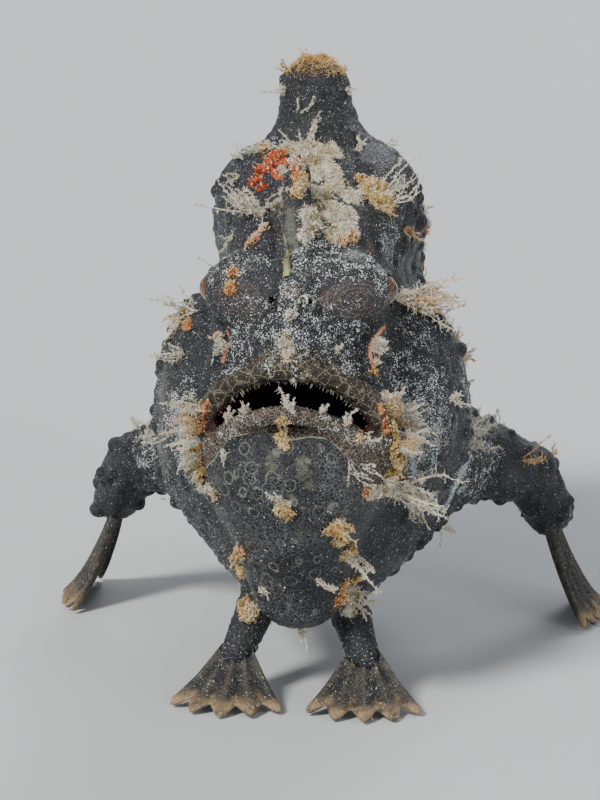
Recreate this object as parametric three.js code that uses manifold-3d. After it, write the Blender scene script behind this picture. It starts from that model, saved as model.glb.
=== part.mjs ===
// A life-size painted frogfish, sitting on its paired fins with its mouth a little open.
//
// The fish is laid out in its own frame, in millimetres: x runs across it, y runs back from
// the lower lip and z runs up from the body's axis. The finished group is then moved so that
// the fish faces -Y and stands on the plane z = 0, centred on the origin.
//
// The rounded masses of the body blend into one distance field. Closed skins are read off
// that field ring by ring, and are cut into head, trunk and tail with thin gaps.

import * as THREE from "three";
import { mergeVertices } from "three/addons/utils/BufferGeometryUtils.js";
import Module from "manifold-3d";

const wasm = await Module();
wasm.setup();

// Driving dimensions
const AXIS_HEIGHT = 43; // body axis above the ground
const GAP = 0.3; // clear space between neighbouring pieces
const NECK_Y = 35; // where the head meets the trunk
const STALK_Y = 100; // where the trunk meets the tail stalk
const TAIL_RAYS_Y = 106; // where the tail fin's rays spring from, inside the stalk
const TAIL_RAY_LENGTH = 36;
const BEND_START = 66; // the tail curls gently to the fish's right from here
const BEND_RADIUS = 170;
const RING_SIDES = 40; // facets round the body
const FLESH_BLEND = 5; // how softly the body's masses run together
const SEED = 20417;

// Head sizes
const EYE = { x: 11.5, y: 15.0, z: 19.0, radius: 2.7 };
const MOUTH = {
  upper: { halfWidth: 13.6, top: 8.6, centre: -6.1 },
  lower: { halfWidth: 12.9, top: 4.8, centre: -6.7 },
  frontY: 3.2, // the upper lip at the middle of the mouth
  sweep: 8.2, // how far the corners lie behind the middle
  depth: 24,
  lipRadius: 1.55,
};
const LIP_FORWARD = 2.6; // how far the lower lip stands in front of the upper

// Colours of the plain model
const COLOURS = {
  skin: 0x24262a,
  fin: 0x2f3033,
  flap: 0xcfc7a4,
  eye: 0x6a4a2c,
};

// A small seeded random source, so that each run is the same.
function randomSource(seed) {
  let state = seed;
  return () => {
    state = (state * 1664525 + 1013904223) % 4294967296;
    return state / 4294967296;
  };
}

const vec = (x, y, z) => new THREE.Vector3(x, y, z);
const sideName = (side) => (side > 0 ? "left" : "right");
const lerp = THREE.MathUtils.lerp;
const smooth = THREE.MathUtils.smoothstep;

// The body's distance field

const bend = (y) =>
  y > BEND_START ? -((y - BEND_START) ** 2) / (2 * BEND_RADIUS) : 0;

function ellipsoid(x, y, z, centre, radii) {
  const px = (x - centre[0]) / radii[0];
  const py = (y - centre[1]) / radii[1];
  const pz = (z - centre[2]) / radii[2];
  const k0 = Math.hypot(px, py, pz);
  const k1 = Math.hypot(px / radii[0], py / radii[1], pz / radii[2]);
  return k1 < 1e-9 ? -Math.min(...radii) : (k0 * (k0 - 1)) / k1;
}

// A block with rounded shoulders: square across the body, and round along it.
function shoulderedBlock(x, y, z, centre, radii, power) {
  const px = Math.abs(x - centre[0]) / radii[0];
  const pz = Math.abs(z - centre[2]) / radii[2];
  const across = (px ** power + pz ** power) ** (1 / power);
  const rho = Math.hypot(across, (y - centre[1]) / radii[1]);
  return (rho - 1) * Math.min(...radii);
}

// A capsule whose radius changes evenly from one end to the other.
function taperedCapsule(x, y, z, from, to, fromRadius, toRadius) {
  const dx = to[0] - from[0];
  const dy = to[1] - from[1];
  const dz = to[2] - from[2];
  const along =
    ((x - from[0]) * dx + (y - from[1]) * dy + (z - from[2]) * dz) /
    (dx * dx + dy * dy + dz * dz);
  const t = THREE.MathUtils.clamp(along, 0, 1);
  return (
    Math.hypot(x - from[0] - t * dx, y - from[1] - t * dy, z - from[2] - t * dz) -
    lerp(fromRadius, toRadius, t)
  );
}

function blend(a, b, width) {
  const h = Math.max(width - Math.abs(a - b), 0) / width;
  return Math.min(a, b) - (h * h * width) / 4;
}

const TAIL_FLATNESS = 0.52; // width over height of the tail stalk

// Distance to the body's skin, without jaw, fins or eyes. Negative inside.
function bodyField(xAcross, y, z) {
  const x = Math.abs(xAcross - bend(y));
  let d = ellipsoid(x, y, z, [0, 48, -8], [22.5, 42, 26]); // belly
  d = blend(d, shoulderedBlock(x, y, z, [0, 50, 12], [15, 41, 24], 4), FLESH_BLEND); // back
  d = blend(d, ellipsoid(x, y, z, [9.2, 41, 28], [6, 9, 7.5]), FLESH_BLEND); // nape's corner
  d = blend(d, ellipsoid(x, y, z, [13.5, 32, -2], [10, 17, 18]), FLESH_BLEND); // cheek
  d = blend(d, ellipsoid(x, y, z, [0, 28, -17], [13, 14, 15]), FLESH_BLEND); // throat
  d = blend(d, ellipsoid(x, y, z, [0, 22, 5], [13, 18.5, 21]), 3); // snout
  d = blend(d, ellipsoid(x, y, z, [8.3, 14.5, 18.8], [5.3, 5.3, 5.2]), 3); // brow round the eye
  d = blend(d, taperedCapsule(x, y, z, [0, 7, 7], [8.6, 9, 4], 3.5, 3.3), 2.5); // upper jaw
  d = blend(d, taperedCapsule(x, y, z, [8.6, 9, 4], [12.6, 14, -8], 3.3, 3.6), 2.5);
  d = blend(d, ellipsoid(x, y, z, [18, 50, -14], [7.5, 9, 8]), FLESH_BLEND); // shoulder
  d = blend(
    d,
    taperedCapsule(x / TAIL_FLATNESS, y, z, [0, 74, 2], [0, 105.5, 0], 21, 8.8) *
      TAIL_FLATNESS,
    FLESH_BLEND + 2,
  ); // tail stalk
  return blend(
    d,
    taperedCapsule(x, y, z, [0, 42, 28], [0, 44.5, 35], 10, 6.5),
    FLESH_BLEND,
  ); // root of the third spine
}

// Distance to the lower jaw: a scoop that narrows to the throat.
function jawField(xAcross, y, z) {
  const widen = 1.14;
  const chin = taperedCapsule(xAcross / widen, y, z, [0, 9.2, -6.5], [0, 15.5, -25.5], 10.4, 6.2);
  const base = ellipsoid(xAcross, y, z, [0, 12, -8], [13.2, 10.5, 10]);
  return blend(chin, base, 2);
}

// The radius at which a ray from a point inside leaves the field's surface at a level.
function reach(field, origin, direction, level, furthest) {
  const at = (r) =>
    field(
      origin.x + direction.x * r,
      origin.y + direction.y * r,
      origin.z + direction.z * r,
    ) - level;
  let outside = furthest;
  while (outside > 1 && at(outside - 1) > 0) outside -= 1;
  let inside = outside - 1;
  for (let i = 0; i < 24; i++) {
    const middle = (inside + outside) / 2;
    if (at(middle) > 0) outside = middle;
    else inside = middle;
  }
  return inside;
}

function surfacePoint(field, origin, direction, level = 0) {
  const d = direction.clone().normalize();
  return origin.clone().addScaledVector(d, reach(field, origin, d, level, 70));
}

function surfaceNormal(field, p) {
  const e = 0.05;
  return vec(
    field(p.x + e, p.y, p.z) - field(p.x - e, p.y, p.z),
    field(p.x, p.y + e, p.z) - field(p.x, p.y - e, p.z),
    field(p.x, p.y, p.z + e) - field(p.x, p.y, p.z - e),
  ).normalize();
}

// Closed meshes and solids

// Builds a closed geometry from rings of equal length, with its ends closed by fans.
function ringGeometry(rings) {
  const sides = rings[0].length;
  const points = rings.flat();
  const faces = [];
  for (let i = 0; i + 1 < rings.length; i++)
    for (let j = 0; j < sides; j++) {
      const a = i * sides + j;
      const b = i * sides + ((j + 1) % sides);
      faces.push(a, b, b + sides, a, b + sides, a + sides);
    }
  for (const [ring, flip] of [
    [0, false],
    [rings.length - 1, true],
  ]) {
    const start = ring * sides;
    if (sides === 3) {
      faces.push(...(flip ? [start, start + 1, start + 2] : [start, start + 2, start + 1]));
      continue;
    }
    const centre = new THREE.Vector3();
    for (const p of rings[ring]) centre.addScaledVector(p, 1 / sides);
    points.push(centre);
    for (let j = 0; j < sides; j++) {
      const a = start + j;
      const b = start + ((j + 1) % sides);
      faces.push(...(flip ? [a, b, points.length - 1] : [b, a, points.length - 1]));
    }
  }
  return closedGeometry(points, faces);
}

function closedGeometry(points, faces) {
  const geometry = new THREE.BufferGeometry().setFromPoints(points);
  let volume = 0;
  const cross = new THREE.Vector3();
  for (let i = 0; i < faces.length; i += 3) {
    cross.crossVectors(points[faces[i + 1]], points[faces[i + 2]]);
    volume += points[faces[i]].dot(cross);
  }
  if (volume < 0)
    for (let i = 0; i < faces.length; i += 3)
      [faces[i + 1], faces[i + 2]] = [faces[i + 2], faces[i + 1]];
  return geometry.setIndex(faces);
}

function solid(geometry) {
  const bare = geometry.clone();
  bare.deleteAttribute("normal");
  bare.deleteAttribute("uv");
  const merged = mergeVertices(bare, 1e-4);
  return new wasm.Manifold(
    new wasm.Mesh({
      numProp: 3,
      vertProperties: new Float32Array(merged.attributes.position.array),
      triVerts: new Uint32Array(merged.index.array),
    }),
  );
}

// Keeps the largest closed surface of a solid, which drops scraps and fills sealed hollows.
function largest(made) {
  const parts = made.decompose().sort((a, b) => b.volume() - a.volume());
  return parts[0];
}

function join(first, others) {
  return others.reduce((sum, other) => sum.add(other), first);
}

function box(low, high) {
  const size = vec(high[0] - low[0], high[1] - low[1], high[2] - low[2]);
  const middle = [0, 1, 2].map((k) => (low[k] + high[k]) / 2);
  return solid(new THREE.BoxGeometry(size.x, size.y, size.z).translate(...middle));
}

function ball(centre, radius, across = 12, down = 8) {
  return solid(
    new THREE.SphereGeometry(radius, across, down).translate(centre.x, centre.y, centre.z),
  );
}

const root = new THREE.Group();
const fish = new THREE.Group();
root.add(fish);

function addNode(name, made, colour, roughness = 0.7) {
  const mesh3 = largest(made).getMesh();
  const geometry = new THREE.BufferGeometry();
  geometry.setAttribute("position", new THREE.BufferAttribute(mesh3.vertProperties, 3));
  geometry.setIndex(new THREE.BufferAttribute(mesh3.triVerts, 1));
  geometry.computeVertexNormals();
  const material = new THREE.MeshStandardMaterial({ color: colour, roughness, metalness: 0 });
  const mesh = new THREE.Mesh(geometry, material);
  mesh.name = name;
  fish.add(mesh);
}

// A tube along a smooth curve; its section at t has the radii given by radiusAt(t), across
// and up. Both ends are rounded off.
function tube(points, radiusAt, steps, sides) {
  const curve = new THREE.CatmullRomCurve3(points);
  const frames = curve.computeFrenetFrames(steps, false);
  const rings = [];
  const ringAt = (t, shift, shrink) => {
    const k = Math.round(t * steps);
    const [r1, r2] = radiusAt(t).map((r) => r * shrink);
    const centre = curve.getPointAt(t).addScaledVector(frames.tangents[k], shift);
    return Array.from({ length: sides }, (_, j) => {
      const a = (2 * Math.PI * j) / sides;
      return centre
        .clone()
        .addScaledVector(frames.normals[k], r1 * Math.cos(a))
        .addScaledVector(frames.binormals[k], r2 * Math.sin(a));
    });
  };
  const ROUNDING = [
    [0.45, 0.85],
    [0.8, 0.55],
  ];
  const startRadius = Math.min(...radiusAt(0));
  const endRadius = Math.min(...radiusAt(1));
  for (const [shift, shrink] of [...ROUNDING].reverse())
    rings.push(ringAt(0, -shift * startRadius, shrink));
  for (let k = 0; k <= steps; k++) rings.push(ringAt(k / steps, 0, 1));
  for (const [shift, shrink] of ROUNDING) rings.push(ringAt(1, shift * endRadius, shrink));
  return solid(ringGeometry(rings));
}

// The body's closed skin at a level of the field, from the snout to the tail stalk.
function bodyShell(level) {
  const FRONT = vec(0, 27, 0);
  const REAR_Y = 103;
  const FRONT_STEPS = 18;
  const MIDDLE_STEPS = 19;
  const REAR_STEPS = 3;
  const ring = (centre, polar) =>
    Array.from({ length: RING_SIDES }, (_, j) => {
      const around = (2 * Math.PI * (j + 0.5)) / RING_SIDES;
      const direction = vec(
        Math.sin(polar) * Math.cos(around),
        -Math.cos(polar),
        Math.sin(polar) * Math.sin(around),
      );
      return surfacePoint(bodyField, centre, direction, level);
    });
  const rings = [];
  for (let i = 0; i < FRONT_STEPS; i++)
    rings.push(ring(FRONT, ((i + 0.35) / FRONT_STEPS) * (Math.PI / 2)));
  for (let i = 0; i <= MIDDLE_STEPS; i++) {
    const y = lerp(FRONT.y, REAR_Y, i / MIDDLE_STEPS);
    rings.push(ring(vec(bend(y), y, 0), Math.PI / 2));
  }
  for (let i = 1; i <= REAR_STEPS; i++)
    rings.push(
      ring(vec(bend(REAR_Y), REAR_Y, 0), Math.PI / 2 + (i / (REAR_STEPS + 0.6)) * (Math.PI / 2)),
    );
  return solid(ringGeometry(rings));
}

function jawShell(level) {
  const centre = vec(0, 11, -13);
  const STEPS = 13;
  const SIDES = 24;
  const rings = Array.from({ length: STEPS }, (_, i) =>
    Array.from({ length: SIDES }, (_, j) => {
      const polar = ((i + 0.5) / STEPS) * Math.PI;
      const around = (2 * Math.PI * (j + 0.5)) / SIDES;
      const direction = vec(
        Math.sin(polar) * Math.cos(around),
        -Math.sin(polar) * Math.sin(around),
        Math.cos(polar),
      );
      return surfacePoint(jawField, centre, direction, level);
    }),
  );
  return solid(ringGeometry(rings));
}

// The mouth

// A point on the mouth's arch: angle 0 is the middle and a quarter turn is a corner.
function archPoint(lip, angle, outward, y) {
  const height = lip.top - lip.centre;
  return vec(
    (lip.halfWidth + outward) * Math.sin(angle),
    y,
    lip.centre + (height + outward) * Math.cos(angle),
  );
}

const archDepth = (angle) => MOUTH.frontY + MOUTH.sweep * (1 - Math.cos(angle));

// The hollow between the lips, which sinks behind the lower lip as it goes back.
function mouthHollow() {
  const STEPS = 12;
  const stations = [
    { y: -8, drop: 0, sink: 0, narrow: 1 },
    { y: 4, drop: 0, sink: 0, narrow: 1 },
    { y: 8, drop: 0.6, sink: 2.5, narrow: 1 },
    { y: 12.5, drop: 2, sink: 4.5, narrow: 0.99 },
    { y: 17, drop: 4.5, sink: 5.5, narrow: 0.86 },
    { y: MOUTH.depth, drop: 8, sink: 3, narrow: 0.5 },
  ];
  const rings = stations.map(({ y, drop, sink, narrow }) => {
    const along = Array.from({ length: STEPS + 1 }, (_, k) => (k / STEPS - 0.5) * Math.PI);
    const upper = along.map((a) => archPoint(MOUTH.upper, a, 0, y));
    const lower = along.map((a) => archPoint(MOUTH.lower, a, 0, y));
    for (const p of upper) p.z -= drop;
    lower.forEach((p, k) => (p.z -= sink * Math.cos(along[k]) + drop * 0.2));
    const ring = [...upper, ...lower.reverse()];
    for (const p of ring) p.x *= narrow;
    return ring;
  });
  // Each section is a crescent, so its ends are closed by strips and not by fans.
  const sides = rings[0].length;
  const points = rings.flat();
  const faces = [];
  for (let i = 0; i + 1 < rings.length; i++)
    for (let j = 0; j < sides; j++) {
      const a = i * sides + j;
      const b = i * sides + ((j + 1) % sides);
      faces.push(a, b, b + sides, a, b + sides, a + sides);
    }
  for (const [start, flip] of [
    [0, false],
    [(rings.length - 1) * sides, true],
  ])
    for (let k = 0; k < STEPS; k++) {
      const a = start + k;
      const b = start + k + 1;
      const c = start + sides - 1 - k;
      const d = start + sides - 2 - k;
      const quad = [a, c, d, a, d, b];
      faces.push(...(flip ? [...quad].reverse() : quad));
    }
  return solid(closedGeometry(points, faces));
}

function lipTube(lip, outward, forward, radius, furthestAngle) {
  const STEPS = 16;
  const points = Array.from({ length: 9 }, (_, k) => {
    const angle = lerp(-furthestAngle, furthestAngle, k / 8);
    return archPoint(lip, angle, outward, archDepth(angle) - forward * Math.cos(angle));
  });
  const radiusAt = (t) => {
    const r = radius * (0.75 + 0.25 * Math.sin(Math.PI * t));
    return [r, r];
  };
  return tube(points, radiusAt, STEPS, 6);
}

// Small cone teeth along the inner edge of the upper lip.
function teeth() {
  const COUNT = 21;
  const LENGTH = 1.3;
  return Array.from({ length: COUNT }, (_, k) => {
    const angle = lerp(-1.15, 1.15, k / (COUNT - 1));
    const base = archPoint(MOUTH.upper, angle, 0.5, archDepth(angle) + 1.6);
    const length = LENGTH * (k % 2 ? 1 : 0.75);
    const cone = new THREE.ConeGeometry(0.42, length + 1, 4).rotateX(Math.PI).rotateX(-0.35);
    return solid(cone.translate(base.x, base.y, base.z));
  });
}

// The ridge down the middle of the snout, and the rim from under each eye to the mouth's corner.
const NASAL_RIDGE = [
  [0, 7.2, 16.6],
  [0, 6.0, 14],
  [0, 4.6, 10.8],
];
const EYE_RIM = [
  [11.8, 13.5, 13.8],
  [11.6, 11.4, 9.6],
  [13.2, 11.3, 3.2],
];

function facialRidges() {
  const ridge = (points, side, radius) =>
    tube(
      points.map(([x, y, z]) => vec(x * side, y, z)),
      () => [radius, radius],
      4,
      6,
    );
  return [ridge(NASAL_RIDGE, 1, 1.8), ridge(EYE_RIM, 1, 1.4), ridge(EYE_RIM, -1, 1.4)];
}

// Skin flaps: each is a bunch of tapered filaments that spring from one root.

// One filament: a three-sided spike with a bend, sunk into what it grows from.
function filament(rootPoint, direction, length, radius, sideways) {
  const sunk = rootPoint.clone().addScaledVector(direction, -1.2);
  const knee = rootPoint.clone().addScaledVector(direction, length * 0.55);
  const tip = rootPoint
    .clone()
    .addScaledVector(direction, length)
    .addScaledVector(sideways, length * 0.28);
  const across = vec(0, 0, 1).cross(direction);
  if (across.lengthSq() < 1e-3) across.set(1, 0, 0);
  across.normalize();
  const up = direction.clone().cross(across).normalize();
  const ring = (centre, r) =>
    [0, 1, 2].map((k) => {
      const a = (2 * Math.PI * k) / 3;
      return centre
        .clone()
        .addScaledVector(across, r * Math.cos(a))
        .addScaledVector(up, r * Math.sin(a));
    });
  const rings = [ring(sunk, radius), ring(knee, radius * 0.62), ring(tip, radius * 0.2)];
  return solid(ringGeometry(rings));
}

function flap(point, normal, size, count, random, lean = null) {
  const ROOT_SPREAD = 0.9;
  const across = vec(0, 0.3, 1).cross(normal).normalize();
  const up = normal.clone().cross(across);
  const turned = 2 * Math.PI * random();
  return Array.from({ length: count }, (_, k) => {
    const around = turned + (2 * Math.PI * k) / Math.max(count - 1, 1);
    const outward = across
      .clone()
      .multiplyScalar(Math.cos(around))
      .addScaledVector(up, Math.sin(around));
    const rootPoint = point.clone().addScaledVector(outward, k ? ROOT_SPREAD : 0);
    const direction = normal.clone().addScaledVector(outward, k ? 0.5 : 0.1);
    if (lean) direction.add(lean);
    direction.normalize();
    const sideways = vec(random() - 0.5, random() - 0.5, random() * 0.7).normalize();
    const length = size * (k ? 0.45 + 0.35 * random() : 1);
    return filament(rootPoint, direction, length, 0.3 + 0.06 * size, sideways);
  });
}

// A wart: a low bulb, sunk to below its widest part.
function wart(point, normal, radius) {
  const centre = point.clone().addScaledVector(normal, -radius * 0.35);
  return ball(centre, radius, 6, 4);
}

// Fins

// A fin of rays joined by a membrane. rootAt, bowAt and tipAt give, for a place u from the
// first ray (0) to the last (1), the ray's root, its middle control point and its tip.
function rayFin({ rays, rows, rootAt, bowAt, tipAt, rayHalf, membraneHalf, notch, tipShare = 0.35 }) {
  const EDGE = 0.18; // how far the fin's edge lies beyond the outer rays
  const columns = [{ at: -EDGE, ray: false }];
  for (let i = 0; i < rays; i++)
    columns.push({ at: i, ray: true }, { at: i + (i < rays - 1 ? 0.5 : EDGE), ray: false });
  const centreAt = (at, v) => {
    const u = THREE.MathUtils.clamp(at / (rays - 1), -0.03, 1.03);
    const between = Math.abs(at - Math.round(at)) * 2;
    const reachShare = 1 - notch * between ** 1.2;
    const curve = new THREE.QuadraticBezierCurve3(rootAt(u), bowAt(u), tipAt(u));
    return curve.getPoint(v * reachShare);
  };
  const front = [];
  const back = [];
  for (let r = 0; r <= rows; r++)
    for (const { at, ray } of columns) {
      const v = r / rows;
      const e = 0.02;
      const alongFin = centreAt(at + 0.3, v).sub(centreAt(at - 0.3, v));
      const alongRay = centreAt(at, Math.min(v + e, 1)).sub(centreAt(at, Math.max(v - e, 0)));
      const normal = alongFin.cross(alongRay).normalize();
      const full = ray ? rayHalf : membraneHalf;
      const half = full * lerp(1, tipShare, v ** 1.5);
      const centre = centreAt(at, v);
      front.push(centre.clone().addScaledVector(normal, half));
      back.push(centre.addScaledVector(normal, -half));
    }
  const wide = columns.length;
  const offset = front.length;
  const faces = [];
  const at = (r, c) => r * wide + c;
  for (let r = 0; r < rows; r++)
    for (let c = 0; c + 1 < wide; c++) {
      const [p, q, s, t] = [at(r, c), at(r, c + 1), at(r + 1, c + 1), at(r + 1, c)];
      faces.push(p, q, s, p, s, t);
      faces.push(p + offset, s + offset, q + offset, p + offset, t + offset, s + offset);
    }
  const rim = [];
  for (let c = 0; c < wide; c++) rim.push(at(0, c));
  for (let r = 1; r <= rows; r++) rim.push(at(r, wide - 1));
  for (let c = wide - 2; c >= 0; c--) rim.push(at(rows, c));
  for (let r = rows - 1; r > 0; r--) rim.push(at(r, 0));
  rim.forEach((p, k) => {
    const q = rim[(k + 1) % rim.length];
    faces.push(q, p, p + offset, q, p + offset, q + offset);
  });
  return solid(closedGeometry([...front, ...back], faces));
}

const skinAbove = (y) => surfacePoint(bodyField, vec(bend(y), y, 0), vec(0, 0, 1));
const skinBelow = (y) => surfacePoint(bodyField, vec(bend(y), y, 0), vec(0, 0, -1));

function dorsalFin() {
  const FIRST = 57;
  const LAST = 97;
  const rootAt = (u) => {
    const p = skinAbove(lerp(FIRST, LAST, u));
    p.z -= 2.5;
    return p;
  };
  const tipAt = (u) => {
    const base = rootAt(u);
    const height = lerp(10, 16, smooth(u, 0, 0.7)) * (1 - 0.12 * smooth(u, 0.8, 1));
    const y = base.y + lerp(7, 15, u);
    return vec(bend(y) + 1.2 * Math.sin(u * 9), y, base.z + height * lerp(1, 0.8, u) + 2.5);
  };
  const bowAt = (u) => {
    const p = rootAt(u).lerp(tipAt(u), 0.5);
    p.z += 2;
    p.y -= 0.6;
    return p;
  };
  return rayFin({
    rays: 12,
    rows: 4,
    rootAt,
    bowAt,
    tipAt,
    rayHalf: 1.0,
    membraneHalf: 0.5,
    notch: 0.1,
  });
}

function analFin() {
  const FIRST = 82;
  const LAST = 98;
  const rootAt = (u) => {
    const p = skinBelow(lerp(FIRST, LAST, u));
    p.z += 2.5;
    return p;
  };
  const tipAt = (u) => {
    const base = rootAt(u);
    const y = base.y + lerp(5, 15, u);
    return vec(bend(y), y, base.z - lerp(12, 15, Math.sin(Math.PI * u)) * lerp(1, 0.75, u));
  };
  const bowAt = (u) => {
    const p = rootAt(u).lerp(tipAt(u), 0.5);
    p.z -= 1.5;
    return p;
  };
  return rayFin({
    rays: 7,
    rows: 4,
    rootAt,
    bowAt,
    tipAt,
    rayHalf: 1.0,
    membraneHalf: 0.5,
    notch: 0.12,
  });
}

function tailFin() {
  const SPREAD = 0.5;
  const rootAt = (u) => {
    return vec(bend(TAIL_RAYS_Y), TAIL_RAYS_Y, lerp(-6.5, 6.5, u));
  };
  const tipAt = (u) => {
    const angle = lerp(-SPREAD, SPREAD, u);
    const length = TAIL_RAY_LENGTH * (1 - 0.1 * (2 * u - 1) ** 2);
    const y = TAIL_RAYS_Y + length * Math.cos(angle);
    return vec(bend(y), y, lerp(-6.5, 6.5, u) * 0.5 + length * Math.sin(angle));
  };
  const bowAt = (u) => {
    const p = rootAt(u).lerp(tipAt(u), 0.5);
    p.x = bend(p.y);
    return p;
  };
  return rayFin({
    rays: 9,
    rows: 5,
    rootAt,
    bowAt,
    tipAt,
    rayHalf: 1.2,
    membraneHalf: 0.5,
    notch: 0.06,
  });
}

// The limb-like pectoral fins. side is 1 for the fish's left and -1 for its right.
const ARM = {
  points: [
    [15, 49, -13],
    [25, 53, -14.5],
    [32.5, 59, -18],
    [36, 63.5, -25],
  ],
  radii: [7.2, 4.4],
};

function armPath(side) {
  return ARM.points.map(([x, y, z]) => vec(x * side, y, z));
}

function arm(side, extra) {
  const radiusAt = (t) => {
    const r = lerp(ARM.radii[0], ARM.radii[1], smooth(t, 0, 0.9)) + extra;
    return [r * 0.85, r];
  };
  return tube(armPath(side), radiusAt, 12, 12);
}

function hand(side) {
  const wrist = armPath(side)[3];
  const rootAt = (u) =>
    vec(wrist.x - side * 0.5, wrist.y + lerp(-3.2, 4.0, u), wrist.z + lerp(-1, 1.2, u));
  const tipAt = (u) => {
    const angle = lerp(-0.95, 1.0, u);
    const length = 12.5;
    return vec(
      wrist.x + side * (1.0 + length * 0.72 * Math.cos(angle)),
      wrist.y + 1.5 + length * Math.sin(angle),
      -AXIS_HEIGHT + 0.15,
    );
  };
  const bowAt = (u) => {
    const p = rootAt(u).lerp(tipAt(u), 0.45);
    p.z = -AXIS_HEIGHT + 4.2;
    p.x += side * 0.6;
    return p;
  };
  return rayFin({
    rays: 9,
    rows: 6,
    rootAt,
    bowAt,
    tipAt,
    rayHalf: 1.0,
    membraneHalf: 0.5,
    notch: 0.16,
    tipShare: 0.6,
  });
}

// The small pelvic fins under the throat, which hold the front of the fish up.
const PELVIC_ROOT = [6, 22, -28];
const PELVIC_PALM = [9.5, 16.5, -36];

function pelvicFin(side) {
  const start = vec(PELVIC_ROOT[0] * side, PELVIC_ROOT[1], PELVIC_ROOT[2]);
  const palm = vec(PELVIC_PALM[0] * side, PELVIC_PALM[1], PELVIC_PALM[2]);
  const stem = tube(
    [start, start.clone().lerp(palm, 0.5), palm],
    (t) => [lerp(3.4, 2.6, t), lerp(3.4, 2.2, t)],
    5,
    8,
  );
  const rootAt = (u) => vec(palm.x + side * lerp(-1.8, 1.8, u), palm.y + 1, palm.z + 1);
  const tipAt = (u) => {
    const angle = lerp(-0.75, 0.95, u);
    const length = 11;
    return vec(
      palm.x + side * length * Math.sin(angle),
      palm.y - length * Math.cos(angle),
      -AXIS_HEIGHT + 0.15,
    );
  };
  const bowAt = (u) => {
    const p = rootAt(u).lerp(tipAt(u), 0.45);
    p.z = -AXIS_HEIGHT + 2.6;
    return p;
  };
  const fan = rayFin({
    rays: 5,
    rows: 5,
    rootAt,
    bowAt,
    tipAt,
    rayHalf: 1.0,
    membraneHalf: 0.5,
    notch: 0.2,
    tipShare: 0.65,
  });
  return stem.add(fan);
}

// Spines

// The second spine stands up between the eyes, with the lure's rod lying in front of it.
const SECOND_SPINE = [
  [0, 15, 20],
  [-0.3, 17, 27],
  [-0.9, 20.5, 35],
];

function secondSpine(extra) {
  const path = SECOND_SPINE.map((p) => vec(...p));
  return tube(path, (t) => [lerp(2.5, 2.0, t) + extra, lerp(2.9, 2.2, t) + extra], 8, 9);
}

function lure() {
  const ROD_OFFSET = 4.1; // from the spine's axis to the rod's
  const ROD_RADIUS = 0.55;
  const BASE = { centre: vec(0, 8.9, 20.4), radius: 1.9 };
  const rodPath = [
    BASE.centre,
    vec(-0.1, 11.2, 23.5),
    ...SECOND_SPINE.slice(1).map(([x, y, z]) => vec(x, y - ROD_OFFSET, z)),
  ];
  const rod = tube(rodPath, () => [ROD_RADIUS, ROD_RADIUS], 7, 5);
  const tip = rodPath[rodPath.length - 1];
  const bait = Array.from({ length: 5 }, (_, k) => {
    const around = (2 * Math.PI * k) / 5;
    const direction = vec(Math.cos(around) * 0.8, -0.7 + 0.2 * Math.sin(around), 0.5).normalize();
    return filament(tip, direction, 2.4, 0.45, vec(0, 0, 1));
  });
  return join(rod, [ball(BASE.centre, BASE.radius, 8, 6), ball(tip, 1.0, 6, 4), ...bait]);
}

// The third spine is a stout knob on the nape.
const THIRD_SPINE = [
  [0, 43, 32],
  [-0.7, 44.8, 39],
  [-1.0, 46.5, 44.6],
];

function thirdSpine() {
  const path = THIRD_SPINE.map((p) => vec(...p));
  const knob = tube(path, (t) => [lerp(6.6, 5.4, t), lerp(7.6, 5.6, t)], 5, 12);
  const flaps = [
    { from: vec(-5.8, 43, 40), normal: vec(-1, -0.5, 0.4), size: 3 },
    { from: vec(3.7, 42.3, 42.6), normal: vec(0.6, -0.8, 0.5), size: 2.6 },
    { from: vec(-0.4, 43, 47), normal: vec(0.2, -0.6, 1), size: 2.8 },
    { from: vec(1, 49.8, 43.6), normal: vec(0.3, 1, 0.5), size: 3.4 },
  ];
  return join(
    knob,
    flaps.flatMap(({ from, normal, size }) => flap(from, normal.normalize(), size, 3, random)),
  );
}

// The small round gill opening behind and below each arm.
function gillPore(side) {
  const direction = vec(side * 0.75, 0, -0.62);
  const point = surfacePoint(bodyField, vec(0, 61, 0), direction);
  return ball(point, 1.3, 8, 6);
}

// Assembly of the solids

const random = randomSource(SEED);
const body = bodyShell(0);
const aroundBody = bodyShell(GAP);
const jaw = jawShell(0);
const aroundJaw = jawShell(GAP);
const hollow = mouthHollow();
const FAR = 200;
const aboveGround = box([-FAR, -FAR, -AXIS_HEIGHT], [FAR, FAR, FAR]);

function between(yLow, yHigh) {
  return box([-FAR, yLow, -FAR], [FAR, yHigh, FAR]);
}

const eyeCentre = (side) => vec(EYE.x * side, EYE.y, EYE.z);
const eyeAxis = (side) => vec(side, -0.28, 0.1).normalize();

function eyelid(side) {
  const ring = new THREE.TorusGeometry(EYE.radius * 0.86, 0.62, 5, 12);
  ring.applyQuaternion(
    new THREE.Quaternion().setFromUnitVectors(vec(0, 0, 1), eyeAxis(side)),
  );
  const at = eyeCentre(side).addScaledVector(eyeAxis(side), EYE.radius * 0.42);
  return solid(ring.translate(at.x, at.y, at.z));
}

function nostril(side) {
  const at = vec(2.2 * side, 7.4, 18.2);
  const outward = vec(0.35 * side, -1, 0.35).normalize();
  const turn = new THREE.Quaternion().setFromUnitVectors(vec(0, 1, 0), outward);
  const place = (geometry) => solid(geometry.applyQuaternion(turn).translate(at.x, at.y, at.z));
  return {
    rim: place(new THREE.CylinderGeometry(0.75, 1.0, 3.2, 8)),
    bore: place(new THREE.CylinderGeometry(0.4, 0.4, 6, 8).translate(0, 2.4, 0)),
  };
}

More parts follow.
